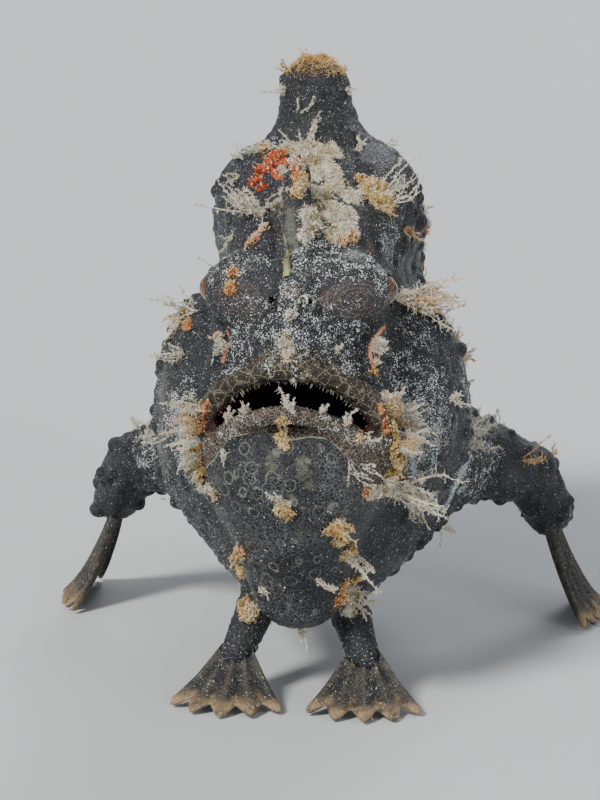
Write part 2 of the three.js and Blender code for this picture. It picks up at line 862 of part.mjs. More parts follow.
// Flaps whose places show in the photograph: where a ray from inside the head or body
// meets the skin, how long the flap is, how many filaments it has, and how it leans.
const HEAD_FLAPS = [
  { from: [0, 27, 0], to: [-8.5, 26, 33], size: 9, count: 3, lean: [-2.2, -0.2, 0.2] },
  { from: [0, 27, 0], to: [10.5, 26, 33], size: 7.5, count: 3, lean: [1.6, -0.4, 1.2] },
  { from: [0, 27, 0], to: [2.5, 32, 36], size: 4, count: 3, lean: [0, -0.3, 0.6] },
  { from: [0, 27, 0], to: [14.2, 14, 9.5], size: 3.4, count: 2, lean: [0.8, -0.4, 0] },
  { from: [0, 27, 0], to: [-14.2, 14, 9.5], size: 3.4, count: 2, lean: [-0.8, -0.4, 0] },
  { from: [0, 27, 0], to: [18, 24, 17], size: 8.5, count: 4, lean: [1.6, 0, 0.3] },
  { from: [0, 27, 0], to: [-18, 24, 15], size: 6.5, count: 4, lean: [-1.6, 0, 0.1] },
  { from: [0, 27, 0], to: [-20, 24, 5], size: 5.5, count: 3, lean: [-1.2, -0.2, 0] },
  { from: [0, 27, 0], to: [15.5, 10, 1], size: 5, count: 4, lean: [0.8, -0.5, 0.3] },
  { from: [0, 27, 0], to: [-15.5, 10, 1], size: 7, count: 4, lean: [-1.2, -0.5, 0.4] },
  { from: [0, 27, 0], to: [16, 11, -7], size: 4.5, count: 4, lean: [1, -0.4, 0] },
  { from: [0, 27, 0], to: [-16, 11, -7], size: 6.5, count: 3, lean: [-1.3, -0.4, 0] },
  { from: [0, 27, 0], to: [17, 15, -14], size: 8, count: 4, lean: [1.6, -0.3, 0] },
  { from: [0, 27, 0], to: [0, 3, 12], size: 2.2, count: 2, lean: [0, -0.6, -0.4] },
];

const JAW_FLAPS = [
  { to: [0, -1, 4], size: 2.6, count: 3, lean: [0, -0.2, 1] },
  { to: [-5.5, 1, 3], size: 2.2, count: 2, lean: [0, -0.2, 0.8] },
  { to: [7.5, 3, 0.5], size: 2.2, count: 2, lean: [0.2, -0.2, 0.8] },
  { to: [-0.8, -1, -9.5], size: 1.8, count: 3, lean: [0, -0.4, -0.2] },
  { to: [7, 2, -14], size: 2.4, count: 3, lean: [0.3, -0.3, -0.3] },
  { to: [-7, 2, -15], size: 2.6, count: 3, lean: [-0.4, -0.3, -0.2] },
  { to: [6.6, 5, -22], size: 3.2, count: 4, lean: [0.8, -0.3, -0.5] },
  { to: [-6.6, 5, -22.5], size: 2.8, count: 4, lean: [-0.8, -0.2, -0.3] },
  { to: [1.5, 8, -29], size: 2.2, count: 3, lean: [0, -0.2, -0.8] },
];

function placedFlaps(field, list, centre) {
  return list.flatMap(({ from, to, size, count, lean }) => {
    const origin = from ? vec(...from) : centre.clone();
    const point = surfacePoint(field, origin, vec(...to).sub(origin));
    return flap(point, surfaceNormal(field, point), size, count, random, vec(...lean));
  });
}

// Scattered flaps and warts over the flanks, from a first to a last y, on both sides.
function scattered(yFirst, yLast, rows, make) {
  const made = [];
  for (let row = 0; row < rows; row++)
    for (const side of [-1, 1])
      for (const height of [-0.75, -0.1, 0.55]) {
        const y = lerp(yFirst, yLast, (row + 0.2 + 0.6 * random()) / rows);
        const direction = vec(side, 0, height + 0.35 * (random() - 0.5));
        const point = surfacePoint(bodyField, vec(bend(y), y, 0), direction);
        made.push(...make(point, surfaceNormal(bodyField, point), side));
      }
  return made;
}

// Head
{
  const upperLip = lipTube(MOUTH.upper, MOUTH.lipRadius * 0.8, 0.4, MOUTH.lipRadius, 1.62);
  const nostrils = [nostril(1), nostril(-1)];
  const flesh = body.intersect(between(-20, NECK_Y - GAP / 2));
  let head = join(flesh, [upperLip, ...nostrils.map((n) => n.rim), ...facialRidges()]);
  head = head.subtract(hollow);
  head = join(head, [...teeth(), eyelid(1), eyelid(-1)]);
  head = join(head, placedFlaps(bodyField, HEAD_FLAPS));
  for (const { bore } of nostrils) head = head.subtract(bore);
  for (const side of [1, -1])
    head = head.subtract(ball(eyeCentre(side), EYE.radius + GAP, 12, 8));
  const lowerLip = lipTube(MOUTH.lower, -1.1 + GAP, LIP_FORWARD, 1.3 + GAP, 1.5);
  head = head.subtract(aroundJaw).subtract(lowerLip);
  head = head.intersect(between(-50, NECK_Y - GAP / 2));
  addNode("head", head, COLOURS.skin);
}

// Lower jaw
{
  const lowerLip = lipTube(MOUTH.lower, -1.1, LIP_FORWARD, 1.3, 1.5);
  let made = join(jaw, [lowerLip]).subtract(hollow);
  made = join(made, placedFlaps(jawField, JAW_FLAPS, vec(0, 11, -13)));
  addNode("lower_jaw", made, COLOURS.skin);
}

// Eyes
for (const side of [1, -1])
  addNode(`eye_${sideName(side)}`, ball(eyeCentre(side), EYE.radius, 12, 8), COLOURS.eye, 0.2);

// Trunk
{
  let trunk = body.intersect(between(NECK_Y + GAP / 2, STALK_Y - GAP / 2));
  const flaps = scattered(40, 96, 4, (point, normal, side) =>
    flap(point, normal, 2.4 + 2.2 * random(), 2, random, vec(side * 0.4, 0.6, 0.3)),
  );
  const warts = scattered(38, 88, 2, (point, normal) => [
    wart(point, normal, 1.2 + 0.7 * random()),
  ]);
  trunk = join(trunk, [...flaps, ...warts]);
  for (const side of [1, -1]) trunk = trunk.subtract(gillPore(side)).subtract(arm(side, GAP));
  addNode("trunk", trunk.intersect(between(NECK_Y + GAP / 2, STALK_Y - GAP / 2)), COLOURS.skin);
}

// Tail stalk
addNode("tail_stalk", body.intersect(between(STALK_Y + GAP / 2, FAR)), COLOURS.skin);

// Fins along the middle
addNode("soft_dorsal_fin", dorsalFin().subtract(aroundBody), COLOURS.fin);
addNode("anal_fin", analFin().subtract(aroundBody), COLOURS.fin);
addNode("tail_fin", tailFin().subtract(aroundBody), COLOURS.fin);

// Spines in front of the fin
addNode("third_dorsal_spine", thirdSpine().subtract(aroundBody), COLOURS.skin);
addNode("second_dorsal_spine", secondSpine(0).subtract(aroundBody), COLOURS.skin);
addNode("lure", lure().subtract(aroundBody).subtract(secondSpine(GAP)), COLOURS.flap);

// Limb-like fins
for (const side of [1, -1]) {
  addNode(`pectoral_arm_${sideName(side)}`, arm(side, 0), COLOURS.skin);
  const fan = hand(side).subtract(arm(side, GAP)).intersect(aboveGround);
  addNode(`pectoral_fin_${sideName(side)}`, fan, COLOURS.fin);
  const pelvic = pelvicFin(side).subtract(aroundBody).subtract(aroundJaw);
  addNode(`pelvic_fin_${sideName(side)}`, pelvic.intersect(aboveGround), COLOURS.fin);
}

// Stand the fish on z = 0 with its bounding box centred over the origin.
const bounds = new THREE.Box3().setFromObject(fish);
const middle = bounds.getCenter(vec(0, 0, 0));
fish.position.set(-middle.x, -middle.y, -bounds.min.z);

export default root;
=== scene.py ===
"""A painted frogfish, life size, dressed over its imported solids.

Shapes are made in the fish's own frame, in millimetres: x to the fish's left, y back from the
lower lip, z up from the body's axis. to_row() moves them to the row frame, in metres.
"""

import math
from itertools import product

import bpy
import numpy as np
import openvdb
from mathutils import Matrix, Vector


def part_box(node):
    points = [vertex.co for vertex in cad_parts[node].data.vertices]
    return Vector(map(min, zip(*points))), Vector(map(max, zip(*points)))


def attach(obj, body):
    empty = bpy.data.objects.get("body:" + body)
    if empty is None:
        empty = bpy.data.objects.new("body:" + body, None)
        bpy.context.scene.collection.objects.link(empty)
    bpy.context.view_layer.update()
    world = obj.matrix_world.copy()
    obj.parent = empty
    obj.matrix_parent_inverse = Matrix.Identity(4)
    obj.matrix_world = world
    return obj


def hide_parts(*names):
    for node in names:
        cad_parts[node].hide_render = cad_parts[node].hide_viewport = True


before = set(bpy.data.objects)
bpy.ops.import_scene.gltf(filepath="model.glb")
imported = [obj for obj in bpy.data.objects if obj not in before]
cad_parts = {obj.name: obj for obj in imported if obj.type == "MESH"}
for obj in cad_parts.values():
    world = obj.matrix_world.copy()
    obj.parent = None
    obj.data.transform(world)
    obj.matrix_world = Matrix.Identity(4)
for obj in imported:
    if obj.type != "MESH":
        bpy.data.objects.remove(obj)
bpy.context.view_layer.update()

# Sizes in mm, as in the solids
AXIS_HEIGHT = 43.0
BEND_START = 66.0
BEND_RADIUS = 170.0
TAIL_FLATNESS = 0.52
TAIL_RAYS_Y = 106.0
TAIL_RAY_LENGTH = 36.0
EYE = np.array([11.5, 15.0, 19.0])
EYE_AXIS = np.array([1, -0.28, 0.1])
EYE_RADIUS = 2.7
UPPER = {"half": 13.6, "top": 8.6, "centre": -6.1}
LOWER = {"half": 12.9, "top": 4.8, "centre": -6.7}
LIP_FRONT = 3.2
LIP_SWEEP = 8.2

# Of the scene alone: the skin's grid in mm and its blocks, and the most triangles in a coat's piece
VOXEL = 0.36
BLOCK = 12
MOST = 190000
SEED = 20417

eye_low, eye_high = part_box("eye_left")
ORIGIN = (np.array(eye_low) + np.array(eye_high)) / 2 * 1000 - EYE


def to_row(points):
    """Points in the fish's frame, in mm, to the row frame, in metres."""
    return (np.asarray(points, float) + ORIGIN) / 1000


# Camera: the photograph looks at the face, a little from above and from the fish's left
CAMERA_TURN = math.radians(6.5)
CAMERA_RISE = math.radians(12)
CAMERA_DISTANCE = 350.0
LENS = 112.5
SENSOR = 36.0
WIDE, HIGH = 600, 800  # the photograph's frame in pixels
PIXEL = SENSOR / HIGH / LENS  # of that frame, per mm of distance
MOUTH_TOP = np.array([0.0, 4.5, 8.6])
MOUTH_PIXEL = (290, 375)

level = math.cos(CAMERA_RISE)
look = np.array([-math.sin(CAMERA_TURN) * level, math.cos(CAMERA_TURN) * level, -math.sin(CAMERA_RISE)])
right = np.cross(look, [0, 0, 1])
right /= np.linalg.norm(right)
up = np.cross(right, look)
on_axis = (
    MOUTH_TOP
    - right * (MOUTH_PIXEL[0] - WIDE / 2) * PIXEL * CAMERA_DISTANCE
    + up * (MOUTH_PIXEL[1] - HIGH / 2) * PIXEL * CAMERA_DISTANCE
)
eye_point = on_axis - look * CAMERA_DISTANCE

camera = bpy.data.objects.new("camera", bpy.data.cameras.new("camera"))
bpy.context.scene.collection.objects.link(camera)
camera.data.lens = LENS
camera.data.sensor_width = SENSOR
camera.data.clip_start = 0.01
axes = np.column_stack([right, up, -look, to_row(eye_point)])
camera.matrix_world = Matrix([*axes.tolist(), [0, 0, 0, 1]])
bpy.context.scene.camera = camera


# The distance field of the flesh


def bend(y):
    """How far the tail's end swings to the fish's right, at each y."""
    return -(np.maximum(y - BEND_START, 0) ** 2) / (2 * BEND_RADIUS)


def ellipsoid(p, centre, radii):
    q = [(p[k] - centre[k]) / radii[k] for k in range(3)]
    k0 = np.sqrt(q[0] ** 2 + q[1] ** 2 + q[2] ** 2)
    k1 = np.sqrt((q[0] / radii[0]) ** 2 + (q[1] / radii[1]) ** 2 + (q[2] / radii[2]) ** 2)
    return k0 * (k0 - 1) / np.maximum(k1, 1e-6)


def shouldered_block(p, centre, radii, power):
    px = np.abs(p[0] - centre[0]) / radii[0]
    pz = np.abs(p[2] - centre[2]) / radii[2]
    across = (px**power + pz**power) ** (1 / power)
    return (np.hypot(across, (p[1] - centre[1]) / radii[1]) - 1) * min(radii)


def capsule(p, start, end, r0, r1):
    d = [end[k] - start[k] for k in range(3)]
    length2 = d[0] ** 2 + d[1] ** 2 + d[2] ** 2
    q = [p[k] - start[k] for k in range(3)]
    t = np.clip((q[0] * d[0] + q[1] * d[1] + q[2] * d[2]) / length2, 0, 1)
    away = np.sqrt((q[0] - t * d[0]) ** 2 + (q[1] - t * d[1]) ** 2 + (q[2] - t * d[2]) ** 2)
    return away - (r0 + (r1 - r0) * t)


def chain(p, points, radii):
    """A tube through points with a radius at each."""
    d = None
    for a, b, ra, rb in zip(points, points[1:], radii, radii[1:]):
        piece = capsule(p, a, b, ra, rb)
        d = piece if d is None else np.minimum(d, piece)
    return d


def blend(a, b, width):
    """The union of two distance fields, with a soft join of that width."""
    h = np.maximum(width - np.abs(a - b), 0) / width
    return np.minimum(a, b) - h * h * width / 4


def carve(a, b, width):
    """a with b taken out, with a soft edge."""
    return -blend(-a, b, width)


def arch(lip, angle, outward=0.0, forward=0.0):
    """A point on a lip: angle 0 is the middle and a quarter turn is a corner."""
    return (
        (lip["half"] + outward) * math.sin(angle),
        LIP_FRONT + LIP_SWEEP * (1 - math.cos(angle)) - forward * math.cos(angle),
        lip["centre"] + (lip["top"] - lip["centre"] + outward) * math.cos(angle),
    )


SECOND_SPINE = [(0, 15, 20), (-0.3, 17, 27), (-0.9, 20.5, 35)]
THIRD_SPINE = [(0, 43, 32), (-0.7, 44.8, 39), (-1.0, 46.5, 44.6)]
ARM = [(15, 49, -13), (25, 53, -14.5), (32.5, 59, -18), (36, 63.5, -25)]
ARM_RADII = [7.0, 6.3, 4.9, 4.2]
PELVIC_ROOT = np.array([6.0, 22.0, -28.0])
PELVIC_PALM = np.array([9.5, 16.5, -36.0])


def trunk(p):
    """The body without jaw, lips and limbs."""
    x, y, z = np.abs(p[0] - bend(p[1])), p[1], p[2]
    q = (x, y, z)
    d = ellipsoid(q, (0, 48, -8), (22.5, 42, 26))
    d = blend(d, shouldered_block(q, (0, 50, 12), (15, 41, 24), 4), 5)
    for centre, radii, width in (
        ((9.2, 41, 28), (6, 9, 7.5), 5),
        ((13.5, 32, -2), (10, 17, 18), 5),
        ((0, 28, -17), (13, 14, 15), 5),
        ((0, 22, 5), (13, 18.5, 21), 3),
        ((8.3, 14.5, 18.8), (5.3, 5.3, 5.2), 3),
    ):
        d = blend(d, ellipsoid(q, centre, radii), width)
    d = blend(d, capsule(q, (0, 7, 7), (8.6, 9, 4), 3.5, 3.3), 2.5)
    d = blend(d, capsule(q, (8.6, 9, 4), (12.6, 14, -8), 3.3, 3.6), 2.5)
    d = blend(d, ellipsoid(q, (18, 50, -14), (7.5, 9, 8)), 5)
    tail = (x / TAIL_FLATNESS, y, z)
    d = blend(d, capsule(tail, (0, 74, 2), (0, 105.5, 0), 21, 8.8) * TAIL_FLATNESS, 7)
    return blend(d, capsule(q, (0, 42, 28), (0, 44.5, 35), 10, 6.5), 5)


def jaw(p):
    wide = (p[0] / 1.14, p[1], p[2])
    chin = capsule(wide, (0, 9.2, -6.5), (0, 15.5, -25.5), 10.4, 6.2)
    return blend(chin, ellipsoid(p, (0, 12, -8), (13.2, 10.5, 10)), 2)


def maw(p):
    """The hollow between the lips: a crescent that sinks as it goes back."""
    x, y, z = p
    back = np.clip((y - 4) / 18, 0, 1)
    narrow = 1 - 0.45 * back**2
    drop = 7 * back**2
    sink = 7.5 * np.clip((y - 3) / 9, 0, 1) * (1 - 0.4 * back)
    upper = np.hypot(x / (UPPER["half"] * narrow), (z + drop - UPPER["centre"]) / 14.7) - 1
    lower = np.hypot(x / (LOWER["half"] * 1.02), (z + sink - LOWER["centre"]) / 11.5) - 1
    d = np.maximum(upper * 13, -lower * 11)
    d = np.maximum(d, y - 24)
    return np.maximum(d, LOWER["centre"] - 5 - z)


ANGLES = np.radians(np.linspace(-92, 92, 15))
LOW_ANGLES = np.radians(np.linspace(-84, 84, 15))
UPPER_LIP = [arch(UPPER, a, 1.24, 0.4) for a in ANGLES]
LOWER_LIP = [arch(LOWER, a, -1.1, 2.6) for a in LOW_ANGLES]
CORNER = [
    (13.4 + 1.9 * math.cos(a), 11.2 + 1.2 * math.sin(a), -4.2 + 3.6 * math.sin(a))
    for a in np.radians([100, 50, 0, -50, -100, -150])
]


def flesh(p):
    """Distance to the whole skin but the fins' membranes, in mm, negative inside."""
    x, y, z = p
    sideways = np.abs(x)
    q = (sideways, y, z)
    d = trunk(p)
    # ridge from under the eye to the corner of the mouth, with a groove behind it
    groove = chain(q, [(14.6, 16, 13), (13.9, 14.6, 8), (15.3, 14.4, 3)], [1.7, 1.8, 1.4])
    d = carve(d, groove, 1.6)
    rim = chain(q, [(11.8, 13.5, 13.8), (11.6, 11.4, 9.6), (13.2, 11.3, 3.2)], [1.0, 1.3, 1.4])
    d = blend(d, rim, 1.4)
    # nasal ridge, nostrils and the base of the lure
    d = blend(d, chain(p, [(0, 8.8, 20), (0, 6.4, 15.5), (0, 4.6, 10.8)], [1.6, 1.8, 1.7]), 2.5)
    d = blend(d, chain(q, [(2.2, 8.0, 18.1), (2.7, 6.0, 18.9)], [1.0, 0.85]), 0.8)
    d = carve(d, chain(q, [(2.6, 6.6, 18.6), (2.9, 4.0, 19.6)], [0.42, 0.5]), 0.3)
    d = blend(d, chain(p, [(-0.1, 8.9, 20.4), (-0.1, 8.7, 20.6)], [1.9, 1.9]), 0.6)
    # second spine with its web, third spine
    d = blend(d, chain(p, SECOND_SPINE, [2.6, 2.2, 2.1]), 2.0)
    d = blend(d, chain(p, [(0, 20, 26), (-0.4, 27, 31)], [1.6, 1.0]), 3.0)
    d = blend(d, chain(p, THIRD_SPINE, [6.6, 5.9, 5.5]), 3.0)
    # lids, and hollows for the eyes
    for side in (1, -1):
        centre, axis = EYE * (side, 1, 1), EYE_AXIS * (side, 1, 1)
        axis /= np.linalg.norm(axis)
        at = centre + axis * EYE_RADIUS * 0.42
        along = sum((p[k] - at[k]) * axis[k] for k in range(3))
        out = np.sqrt(sum((p[k] - at[k]) ** 2 for k in range(3)) - along**2 + 1e-6)
        d = blend(d, np.hypot(out - EYE_RADIUS * 0.86, along) - 0.55, 0.9)
        ball = np.sqrt(sum((p[k] - centre[k]) ** 2 for k in range(3))) - EYE_RADIUS
        d = np.maximum(d, -(ball - 0.03))
    # jaw, mouth and lips
    d = blend(d, jaw(p), 0.9)
    d = carve(d, maw(p), 0.8)
    d = blend(d, chain(p, UPPER_LIP, [1.2] + [1.45] * 13 + [1.2]), 2.0)
    d = blend(d, chain(p, LOWER_LIP, [1.1] + [1.3] * 13 + [1.1]), 2.6)
    d = blend(d, chain(q, CORNER, [0.9] * 6), 0.8)
    fold = chain(q, [(10.7, 8.6, 0.1), (12.1, 10.0, -3.5), (12.5, 11.0, -7)], [0.8, 1.2, 1.2])
    d = blend(d, fold, 1.0)
    # limbs
    d = blend(d, chain(q, ARM, ARM_RADII), 3.0)
    palm = chain(q, [tuple(PELVIC_ROOT), tuple(PELVIC_PALM)], [3.4, 2.4])
    d = blend(d, palm, 1.6)
    # flesh that rises round the bases of the middle fins
    centred = (x - bend(y), y, z)
    back = [(0, 57, 34), (0, 70, 30), (0, 84, 23), (0, 98, 13)]
    d = blend(d, chain(centred, back, [1.9, 1.8, 1.7, 1.4]), 4)
    d = blend(d, chain(centred, [(0, 82, -21), (0, 98, -10.5)], [1.5, 1.3]), 4)
    return d


def gradient(p, field, step=0.08):
    p = np.asarray(p, float)
    columns = []
    for k in range(3):
        e = np.zeros(3)
        e[k] = step
        columns.append(field((p + e).T) - field((p - e).T))
    g = np.column_stack(columns)
    return g / np.maximum(np.linalg.norm(g, axis=1), 1e-9)[:, None]


# Seeded noise on points in mm


def hashed(cell, seed):
    h = cell[..., 0] * 73856093 ^ cell[..., 1] * 19349663 ^ cell[..., 2] * 83492791
    h = (h ^ (seed * 2654435761)) & 0xFFFFFFFF
    h = ((h ^ (h >> 15)) * 2246822519) & 0xFFFFFFFF
    h = ((h ^ (h >> 13)) * 3266489917) & 0xFFFFFFFF
    return ((h ^ (h >> 16)) & 0xFFFFFF) / float(0xFFFFFF)


def noise(p, size, seed):
    """Smooth noise from -1 to 1 with features of that size."""
    q = np.asarray(p, float) / size
    base = np.floor(q).astype(np.int64)
    f = q - base
    f = f * f * f * (f * (f * 6 - 15) + 10)
    total = 0
    for step in product((0, 1), repeat=3):
        weight = 1
        for k in range(3):
            weight = weight * (f[:, k] if step[k] else 1 - f[:, k])
        total = total + weight * hashed(base + step, seed)
    return total * 2 - 1


def cells(p, size, seed):
    """Distance to the nearest seed point of a jittered lattice, in mm, and its random number."""
    q = np.asarray(p, float) / size
    base = np.floor(q).astype(np.int64)
    best = np.full(len(q), 9.0)
    which = np.zeros(len(q))
    for step in product((-1, 0, 1), repeat=3):
        cell = base + step
        spot = cell + np.stack([hashed(cell, seed + k) for k in (1, 2, 3)], axis=-1)
        d = np.linalg.norm(q - spot, axis=1)
        nearer = d < best
        best = np.where(nearer, d, best)
        which = np.where(nearer, hashed(cell, seed + 4), which)
    return best * size, which


def fade(value, start, end):
    """0 at the start and 1 at the end, and smooth between."""
    t = np.clip((value - start) / (end - start), 0, 1)
    return t * t * (3 - 2 * t)


def photo_ray(pixel):
    """The direction in which a pixel of the photograph's frame looks."""
    d = look + right * (pixel[0] - WIDE / 2) * PIXEL - up * (pixel[1] - HIGH / 2) * PIXEL
    return d / np.linalg.norm(d)


def pixel_of(p):
    """Where points show in the photograph's frame."""
    away = p - eye_point
    far = away @ look
    return WIDE / 2 + away @ right / far / PIXEL, HIGH / 2 - away @ up / far / PIXEL


def seen(pixels):
    """Where the rays of those pixels meet the flesh, in mm; NaN where they miss it."""
    rays = np.array([photo_ray(px) for px in pixels])
    t = np.full(len(rays), CAMERA_DISTANCE - 60)
    for _ in range(90):
        p = eye_point + rays * t[:, None]
        t = t + np.clip(flesh(p.T), -2, 6) * 0.75
    p = eye_point + rays * t[:, None]
    p[np.abs(flesh(p.T)) > 0.4] = np.nan
    return p


# The skin's mesh


def lattice(counts):
    """All the index triples of a box of cells."""
    return np.stack(np.meshgrid(*map(np.arange, counts), indexing="ij"), axis=-1).reshape(-1, 3)


def voxel_skin():
    """The flesh's surface: points in mm, and quads."""
    low = np.array([-48.0, -6.0, -44.0])
    high = np.array([48.0, 120.0, 56.0])
    blocks = np.ceil((high - low) / VOXEL / BLOCK).astype(int)
    rough = flesh(((lattice(blocks) + 0.5) * BLOCK * VOXEL + low).T).reshape(blocks)
    values = rough.astype(np.float32)
    for axis in range(3):
        values = np.repeat(values, BLOCK, axis)
    # only the blocks that the surface may pass through are filled in
    active = np.argwhere(np.abs(rough) < BLOCK * VOXEL * 0.9 * 1.5)
    inner = lattice([BLOCK] * 3)
    for chunk in np.array_split(active, max(1, len(active) // 300)):
        index = (chunk[:, None, :] * BLOCK + inner[None]).reshape(-1, 3)
        d = flesh((low + index * VOXEL).T.astype(np.float32))
        values[index[:, 0], index[:, 1], index[:, 2]] = d
    grid = openvdb.FloatGrid()
    grid.background = 3.0
    grid.copyFromArray(values)
    points, quads = grid.convertToQuads(isovalue=0.0)
    return np.asarray(points, float) * VOXEL + low, np.asarray(quads)


def make_mesh(name, points, faces, smooth=True):
    """A mesh object in the row frame from points in mm."""
    mesh = bpy.data.meshes.new(name)
    faces = np.asarray(faces)
    size = faces.shape[1]
    mesh.vertices.add(len(points))
    mesh.vertices.foreach_set("co", to_row(points).astype(np.float32).ravel())
    mesh.loops.add(faces.size)
    mesh.loops.foreach_set("vertex_index", faces.astype(np.int32).ravel())
    mesh.polygons.add(len(faces))
    mesh.polygons.foreach_set("loop_start", np.arange(0, faces.size, size, dtype=np.int32))
    mesh.update(calc_edges=True)
    mesh.validate()
    mesh.polygons.foreach_set("use_smooth", np.full(len(mesh.polygons), smooth))
    piece = bpy.data.objects.new(name, mesh)
    bpy.context.scene.collection.objects.link(piece)
    return piece


def attribute(piece, name, values):
    layer = piece.data.attributes.new(name, "FLOAT", "POINT")
    layer.data.foreach_set("value", np.asarray(values, np.float32))


# Fins: sheets of rays and membrane, the same shapes as in the solids but finer

MEMBRANE_HALF = 0.45
HAND_REACH = 12.5
FOOT_REACH = 11
SOLE = -AXIS_HEIGHT + 0.6


def curve_through(a, b, c, t):
    return (1 - t) ** 2 * a + 2 * (1 - t) * t * b + t**2 * c


def leap(a, b, u):
    return a + (b - a) * u


def skin_level(y, sign):
    """The height at which the trunk's middle line meets its back (sign 1) or belly (-1)."""
    low, high = np.zeros_like(y), np.full_like(y, 60.0)
    for _ in range(30):
        middle = (low + high) / 2
        outside = trunk((bend(y), y, sign * middle)) > 0
        high = np.where(outside, middle, high)
        low = np.where(outside, low, middle)
    return sign * low


def fin(rays, rows, per_ray, root, tip, bow, ray_half, notch, tip_share, seed):
    """Points, quads, and for each point how far out it is and how much it is on a ray.

    root and tip give the ends of a ray at each share of the fin's width, and bow what it bends to.
    """
    at = np.linspace(-0.18, rays - 1 + 0.18, (rays - 1) * per_ray + 1)
    u = np.clip(at / (rays - 1), -0.03, 1.03)
    between = np.abs(at - np.round(at)) * 2
    share = 1 - notch * between**1.2
    v = np.linspace(0, 1, rows + 1)
    t = (v[:, None] * share[None, :])[..., None]
    roots, tips = root(u), tip(u)
    middle = curve_through(roots[None], bow(roots, tips)[None], tips[None], t)
    normal = np.cross(np.gradient(middle, axis=1), np.gradient(middle, axis=0))
    normal /= np.maximum(np.linalg.norm(normal, axis=-1), 1e-9)[..., None]
    ridge = np.exp(-((between / 0.42) ** 2))
    half = (MEMBRANE_HALF + (ray_half - MEMBRANE_HALF) * ridge)[None] * leap(1, tip_share, v**1.5)[:, None]
    wobble = noise(middle.reshape(-1, 3), 3.5, seed).reshape(half.shape) * 0.25 * v[:, None]
    middle = middle + normal * wobble[..., None]
    edge = np.ones_like(half)
    edge[-1] = 0.25
    edge[:, 0] = edge[:, -1] = 0.3
    offset = normal * (half * edge * 0.92)[..., None]
    sheet = np.concatenate([(middle + offset).reshape(-1, 3), (middle - offset).reshape(-1, 3)])
    wide, tall = len(at), rows + 1
    index = np.arange(wide * tall).reshape(tall, wide)
    front = np.stack([index[:-1, :-1], index[:-1, 1:], index[1:, 1:], index[1:, :-1]], -1)
    front = front.reshape(-1, 4)
    rim = np.concatenate([index[0, :], index[1:, -1], index[-1, -2::-1], index[-2:0:-1, 0]])
    after = np.roll(rim, -1)
    back = front[:, ::-1] + wide * tall
    sides = np.stack([after, rim, rim + wide * tall, after + wide * tall], -1)
    quads = np.concatenate([front, back, sides])
    out = np.tile(np.repeat(v, wide), 2)
    on_ray = np.tile(np.tile(ridge, tall), 2)
    return sheet, quads, out, on_ray


def stack(*columns):
    return np.stack(np.broadcast_arrays(*columns), axis=-1).astype(float)


def fine_fins():
    def dorsal_root(u):
        y = leap(57.0, 97.0, u)
        return stack(bend(y), y, skin_level(y, 1) - 2.5)

    def dorsal_tip(u):
        base = dorsal_root(u)
        height = leap(10, 16, fade(u, 0, 0.7)) * (1 - 0.12 * fade(u, 0.8, 1))
        y = base[:, 1] + leap(7, 15, u)
        return stack(bend(y) + 1.2 * np.sin(u * 9), y, base[:, 2] + height * leap(1, 0.8, u) + 2.3)

    def anal_root(u):
        y = leap(82.0, 98.0, u)
        return stack(bend(y), y, skin_level(y, -1) + 2.5)

    def anal_tip(u):
        base = anal_root(u)
        y = base[:, 1] + leap(5, 15, u)
        drop = leap(12, 15, np.sin(np.pi * u)) * leap(1, 0.75, u)
        return stack(bend(y), y, base[:, 2] - drop)

    def tail_root(u):
        return stack(bend(TAIL_RAYS_Y), TAIL_RAYS_Y, leap(-6.5, 6.5, u))

    def tail_tip(u):
        angle = leap(-0.5, 0.5, u)
        length = TAIL_RAY_LENGTH * (1 - 0.1 * (2 * u - 1) ** 2)
        y = TAIL_RAYS_Y + length * np.cos(angle)
        return stack(bend(y), y, leap(-6.5, 6.5, u) * 0.5 + length * np.sin(angle))

    def tail_bow(root, tip):
        middle = (root + tip) / 2
        middle[:, 0] = bend(middle[:, 1])
        return middle

    def halfway(*shift):
        return lambda root, tip: (root + tip) / 2 + shift

    def limb_bow(height, outward=0.0):
        def bow(root, tip):
            p = leap(root, tip, 0.45)
            p[:, 2] = -AXIS_HEIGHT + height
            p[:, 0] += outward
            return p

        return bow

    made = [
        fin(12, 26, 12, dorsal_root, dorsal_tip, halfway(0, -0.6, 2), 0.95, 0.1, 0.35, 11),
        fin(7, 22, 12, anal_root, anal_tip, halfway(0, 0, -1.5), 0.95, 0.12, 0.35, 12),
        fin(9, 40, 14, tail_root, tail_tip, tail_bow, 1.1, 0.06, 0.35, 13),
    ]
    for side in (1, -1):
        wrist = np.array(ARM[3]) * (side, 1, 1)
        palm = PELVIC_PALM * (side, 1, 1)

        def hand_root(u):
            return stack(wrist[0] - side * 0.5, wrist[1] + leap(-3.2, 4.0, u), wrist[2] + leap(-1, 1.2, u))

        def hand_tip(u):
            angle = leap(-0.95, 1.0, u)
            x = wrist[0] + side * (1.0 + HAND_REACH * 0.72 * np.cos(angle))
            return stack(x, wrist[1] + 1.5 + HAND_REACH * np.sin(angle), SOLE)

        def foot_root(u):
            return stack(palm[0] + side * leap(-1.8, 1.8, u), palm[1] + 1, palm[2] + 1)

        def foot_tip(u):
            angle = leap(-0.75, 0.95, u)
            x = palm[0] + side * FOOT_REACH * np.sin(angle)
            return stack(x, palm[1] - FOOT_REACH * np.cos(angle), SOLE)

        made.append(fin(9, 26, 10, hand_root, hand_tip, limb_bow(4.2, side * 0.6), 0.95, 0.16, 0.6, 14))
        made.append(fin(5, 24, 14, foot_root, foot_tip, limb_bow(2.6), 0.95, 0.2, 0.65, 15))
    return made


